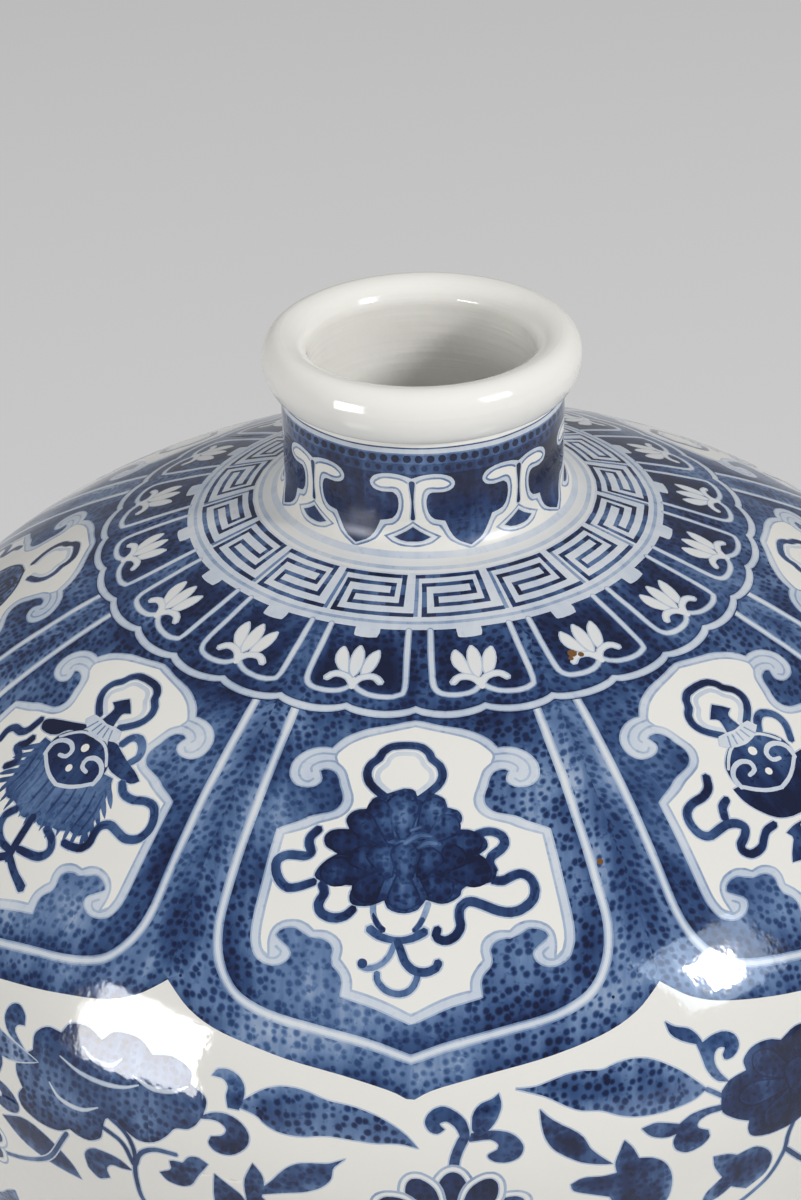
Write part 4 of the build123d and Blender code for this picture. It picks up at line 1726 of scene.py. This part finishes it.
def cobalt_strength(tree, solid, height, pooled):
    """Strength of the cobalt: the wash of the faces, brushed and pooled, with grains and dots in it."""
    chart = tree.node("ShaderNodeUVMap", uv_map="Chart").outputs["UV"]
    cobalt = tree.attribute("wash")
    brushed = tree.noise(tree.scaled(chart, (0.42, 0.07, 1.0)), 1.0, 3.0, flat=True)
    share = tree.math("ADD", tree.math("MULTIPLY", brushed, 0.4), pooled)
    body = tree.math("MULTIPLY", cobalt, tree.map_range(share, 0.44, 0.96, 0.62, 1.28))
    grains = tree.map_range(tree.noise(solid, 900.0), 0.56, 0.74, 0.0, 0.22, smooth=True)
    heaped = tree.math("MULTIPLY", grains, cobalt)
    dots = tree.math("MULTIPLY", tree.attribute("dots"), cobalt_dots(tree, chart))
    patchy = tree.map_range(tree.noise(solid, 45.0, 1.0), 0.35, 0.65, 0.16, 0.38)
    # Painted shade: the white below the neck is darker than at the lip, fading in from the neck down
    painted_shade_below_neck = tree.map_range(height, 0.30, 0.345, 0.05, 0.0)
    strength = body
    for more in (heaped, tree.math("MULTIPLY", dots, patchy), painted_shade_below_neck):
        strength = tree.math("ADD", strength, more)
    return strength


def glaze_material():
    """Clear glaze over porcelain and cobalt, which pools, thins and dots as the faces say."""
    material = bpy.data.materials.new("Underglaze_blue")
    tree = Shading(material)
    shader = tree.nodes["Principled BSDF"]
    solid = tree.places("Object")
    height = tree.heights(solid)
    pooled = tree.noise(solid, 70.0)

    stain = tree.node("ShaderNodeMix", data_type="RGBA")
    under, over = [socket for socket in stain.inputs if socket.type == "RGBA"]
    over.default_value = (*iron_tone, 1)
    tree.put(tree.attribute("iron"), stain.inputs["Factor"])
    tree.put(tree.ramp(cobalt_strength(tree, solid, height, pooled), cobalt_tones), under)
    colour = next(socket for socket in stain.outputs if socket.type == "RGBA")
    tree.put(colour, shader.inputs["Base Color"])

    rough = tree.map_range(pooled, 0.3, 0.7, 0.045, 0.10)
    root = tree.map_range(height, 0.321, 0.327, 0.0, 0.3)
    crown = tree.map_range(height, 0.332, 0.336, 1.0, 0.0)
    rough = tree.math("ADD", rough, tree.math("MULTIPLY", root, crown))
    tree.put(rough, shader.inputs["Roughness"])
    shader.inputs["IOR"].default_value = 1.48

    thrown = tree.noise(tree.scaled(solid, (30.0, 30.0, 900.0)), 1.0)
    thrown = tree.math("MULTIPLY", thrown, tree.attribute("hollow"))
    skin = tree.math("MULTIPLY", tree.noise(solid, 380.0), 0.45)
    waves = tree.math("MULTIPLY", tree.noise(solid, 42.0, 1.0), 8.0)
    relief = tree.math("ADD", tree.math("ADD", thrown, skin), waves)
    tree.put(tree.bump(relief, 0.25, 0.0004), shader.inputs["Normal"])
    return material


def biscuit_material():
    """Unglazed porcelain of the foot ring, and of the slip in the seams."""
    material = bpy.data.materials.new("Biscuit_porcelain")
    tree = Shading(material)
    shader = tree.nodes["Principled BSDF"]
    solid = tree.places("Object")
    grit = tree.noise(solid, 2200.0)
    tree.put(tree.ramp(tree.noise(solid, 45.0, 4.0), biscuit_tones), shader.inputs["Base Color"])
    tree.put(tree.map_range(grit, 0.3, 0.7, 0.55, 0.8), shader.inputs["Roughness"])
    tree.put(tree.bump(grit, 0.4, 0.0002), shader.inputs["Normal"])
    return material


painting = by_hand(
    neck_band() + key_fret(top=41.4, count=16) + lotus_band()
    + repeated(upper_scroll(), 4)
    + lower_scroll(down=214, radius=15, start=6) + lower_scroll(down=266, radius=14, start=28.5)
    + shoulder_panels() + foot_bands() + kiln_specks()
)

glaze = glaze_material()
biscuit = biscuit_material()

# Profile of each section, and the columns of faces round it
sections = {
    "neck": (neck_runs(), 180),
    "shoulder": (between(seams["belly"], seams["neck"]), 288),
    "belly": (between(seams["body"], seams["belly"]), 288),
    "lower_body": (between(seams["foot"], seams["body"]), 240),
    "foot": (foot_runs(), 180),
}
for name, (runs, columns) in sections.items():
    painted_runs = [run for run in runs if run.down is not None]
    top = painted_runs[0].down
    bottom = painted_runs[-1].down + lengths_along(painted_runs[-1].points)[-1]
    piece = turned(f"{name}_painted", runs, columns, on_section(painting, top, bottom))
    piece.data.materials.append(glaze)
    if name == "foot":
        piece.data.materials.append(biscuit)
    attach(piece, "root")
    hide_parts(name)

for name, height in seams.items():
    runs = slip_runs(height, ridged=name != "neck")
    piece = turned(f"{name}_slip_ring", runs, columns=120, hollow_step=2.0)
    piece.data.materials.append(biscuit)
    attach(piece, "root")
    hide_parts(f"{name}_slip")

# Camera of the photograph: in front of the vase and above it
camera_place = place(0, -450, 560.7)
camera_pitch = math.radians(29.92)
camera_yaw = math.radians(-0.67)
camera_roll = math.radians(-1.59)
camera_data = bpy.data.cameras.new("Camera")
camera_data.sensor_fit = "VERTICAL"
camera_data.sensor_height = 36
camera_data.lens = 78.87
camera_data.clip_start = 0.01
camera = bpy.data.objects.new("Camera", camera_data)
bpy.context.collection.objects.link(camera)
ahead = Vector((
    math.sin(camera_yaw) * math.cos(camera_pitch),
    math.cos(camera_yaw) * math.cos(camera_pitch),
    -math.sin(camera_pitch),
))
right = ahead.cross(Vector((0, 0, 1))).normalized()
level_up = right.cross(ahead)
across = math.cos(camera_roll) * right + math.sin(camera_roll) * level_up
upright = -math.sin(camera_roll) * right + math.cos(camera_roll) * level_up
turn = Matrix((across, upright, -ahead)).transposed().to_4x4()
camera.matrix_world = Matrix.Translation(Vector((*camera_place,)) * MM) @ turn
bpy.context.scene.camera = camera


def softbox(name, where, aim, wide, high, power, fills=True, shines=True, tint=(1, 1, 1)):
    """Area lamp. A fill lamp gives only its light, and a sheen only its image in the glaze."""
    light = bpy.data.lights.new(name, "AREA")
    light.shape = "RECTANGLE"
    light.size = wide
    light.size_y = high
    light.energy = power
    light.color = tint
    made = bpy.data.objects.new(name, light)
    made.location = where
    made.rotation_euler = (Vector(aim) - Vector(where)).to_track_quat("-Z", "Y").to_euler()
    made.visible_camera = False
    made.visible_diffuse = fills
    made.visible_glossy = shines
    bpy.context.collection.objects.link(made)


# Lamps left and right of the camera
vase_middle = (0, 0, 0.28)
right_lamp = (1.67, -1.19, 1.37)
cool_white = (0.70, 0.84, 1)
softbox("Left_fill", (-0.85, -0.75, 0.54), (0, 0, 0.25), 0.50, 0.40, 4.4, shines=False)
softbox("Left_sheen", (-0.68, -0.58, 0.34), vase_middle, 0.32, 0.42, 7.0, fills=False)
softbox("Right_key", right_lamp, vase_middle, 0.22, 0.44, 30.0)
softbox("Right_sheen", right_lamp, vase_middle, 0.85, 0.95, 18.0, fills=False, tint=cool_white)


def seen_directly(tree, unseen, seen):
    """Strength of a backdrop: one for the light that it gives, and one for where it is looked at."""
    path = tree.node("ShaderNodeLightPath")
    looked = path.outputs["Is Camera Ray"]
    for ray in ("Is Glossy Ray", "Is Transmission Ray"):
        looked = tree.math("ADD", looked, path.outputs[ray], clamp=True)
    return tree.map_range(looked, 0.0, 1.0, unseen, seen)


# Pale floor, which glows a little round the vase
floor_reach = 40.0
floor_tone = 0.54
glow_start, glow_end = 0.6, 4.0
near_glow, far_glow = 0.17, 0.02
floor_corners = [(floor_reach * x, floor_reach * y, 0) for x, y in ((-1, -1), (1, -1), (1, 1), (-1, 1))]
floor_mesh = bpy.data.meshes.new("Floor")
floor_mesh.from_pydata(floor_corners, [], [(0, 1, 2, 3)])
floor = bpy.data.objects.new("Floor", floor_mesh)
bpy.context.collection.objects.link(floor)
floor_material = bpy.data.materials.new("Pale_floor")
floor_tree = Shading(floor_material)
floor_shader = floor_tree.nodes["Principled BSDF"]
floor_shader.inputs["Base Color"].default_value = (floor_tone, floor_tone, floor_tone, 1)
floor_shader.inputs["Roughness"].default_value = 0.7
floor_shader.inputs["Specular IOR Level"].default_value = 0.0
floor_shader.inputs["Emission Color"].default_value = (1, 1, 1, 1)
from_vase = floor_tree.node("ShaderNodeVectorMath", operation="LENGTH")
floor_tree.put(floor_tree.places("Object"), from_vase.inputs[0])
glow = floor_tree.map_range(
    from_vase.outputs["Value"], glow_start, glow_end, near_glow, far_glow, smooth=True
)
floor_tree.put(seen_directly(floor_tree, 0.0, glow), floor_shader.inputs["Emission Strength"])
floor_mesh.materials.append(floor_material)

# Pale surroundings, lighter above than at the horizon
horizon_light, top_light = 0.12, 0.76
backdrop_seen = 0.31
world = bpy.data.worlds.new("Studio")
bpy.context.scene.world = world
world_tree = Shading(world)
backdrop = world_tree.nodes["Background"]
backdrop.inputs["Color"].default_value = (1, 1, 1, 1)
aloft = world_tree.heights(world_tree.places("Generated"))
dome = world_tree.map_range(aloft, 0.0, 1.0, horizon_light, top_light)
world_tree.put(seen_directly(world_tree, dome, backdrop_seen), backdrop.inputs["Strength"])

bpy.context.scene.view_settings.view_transform = "Standard"
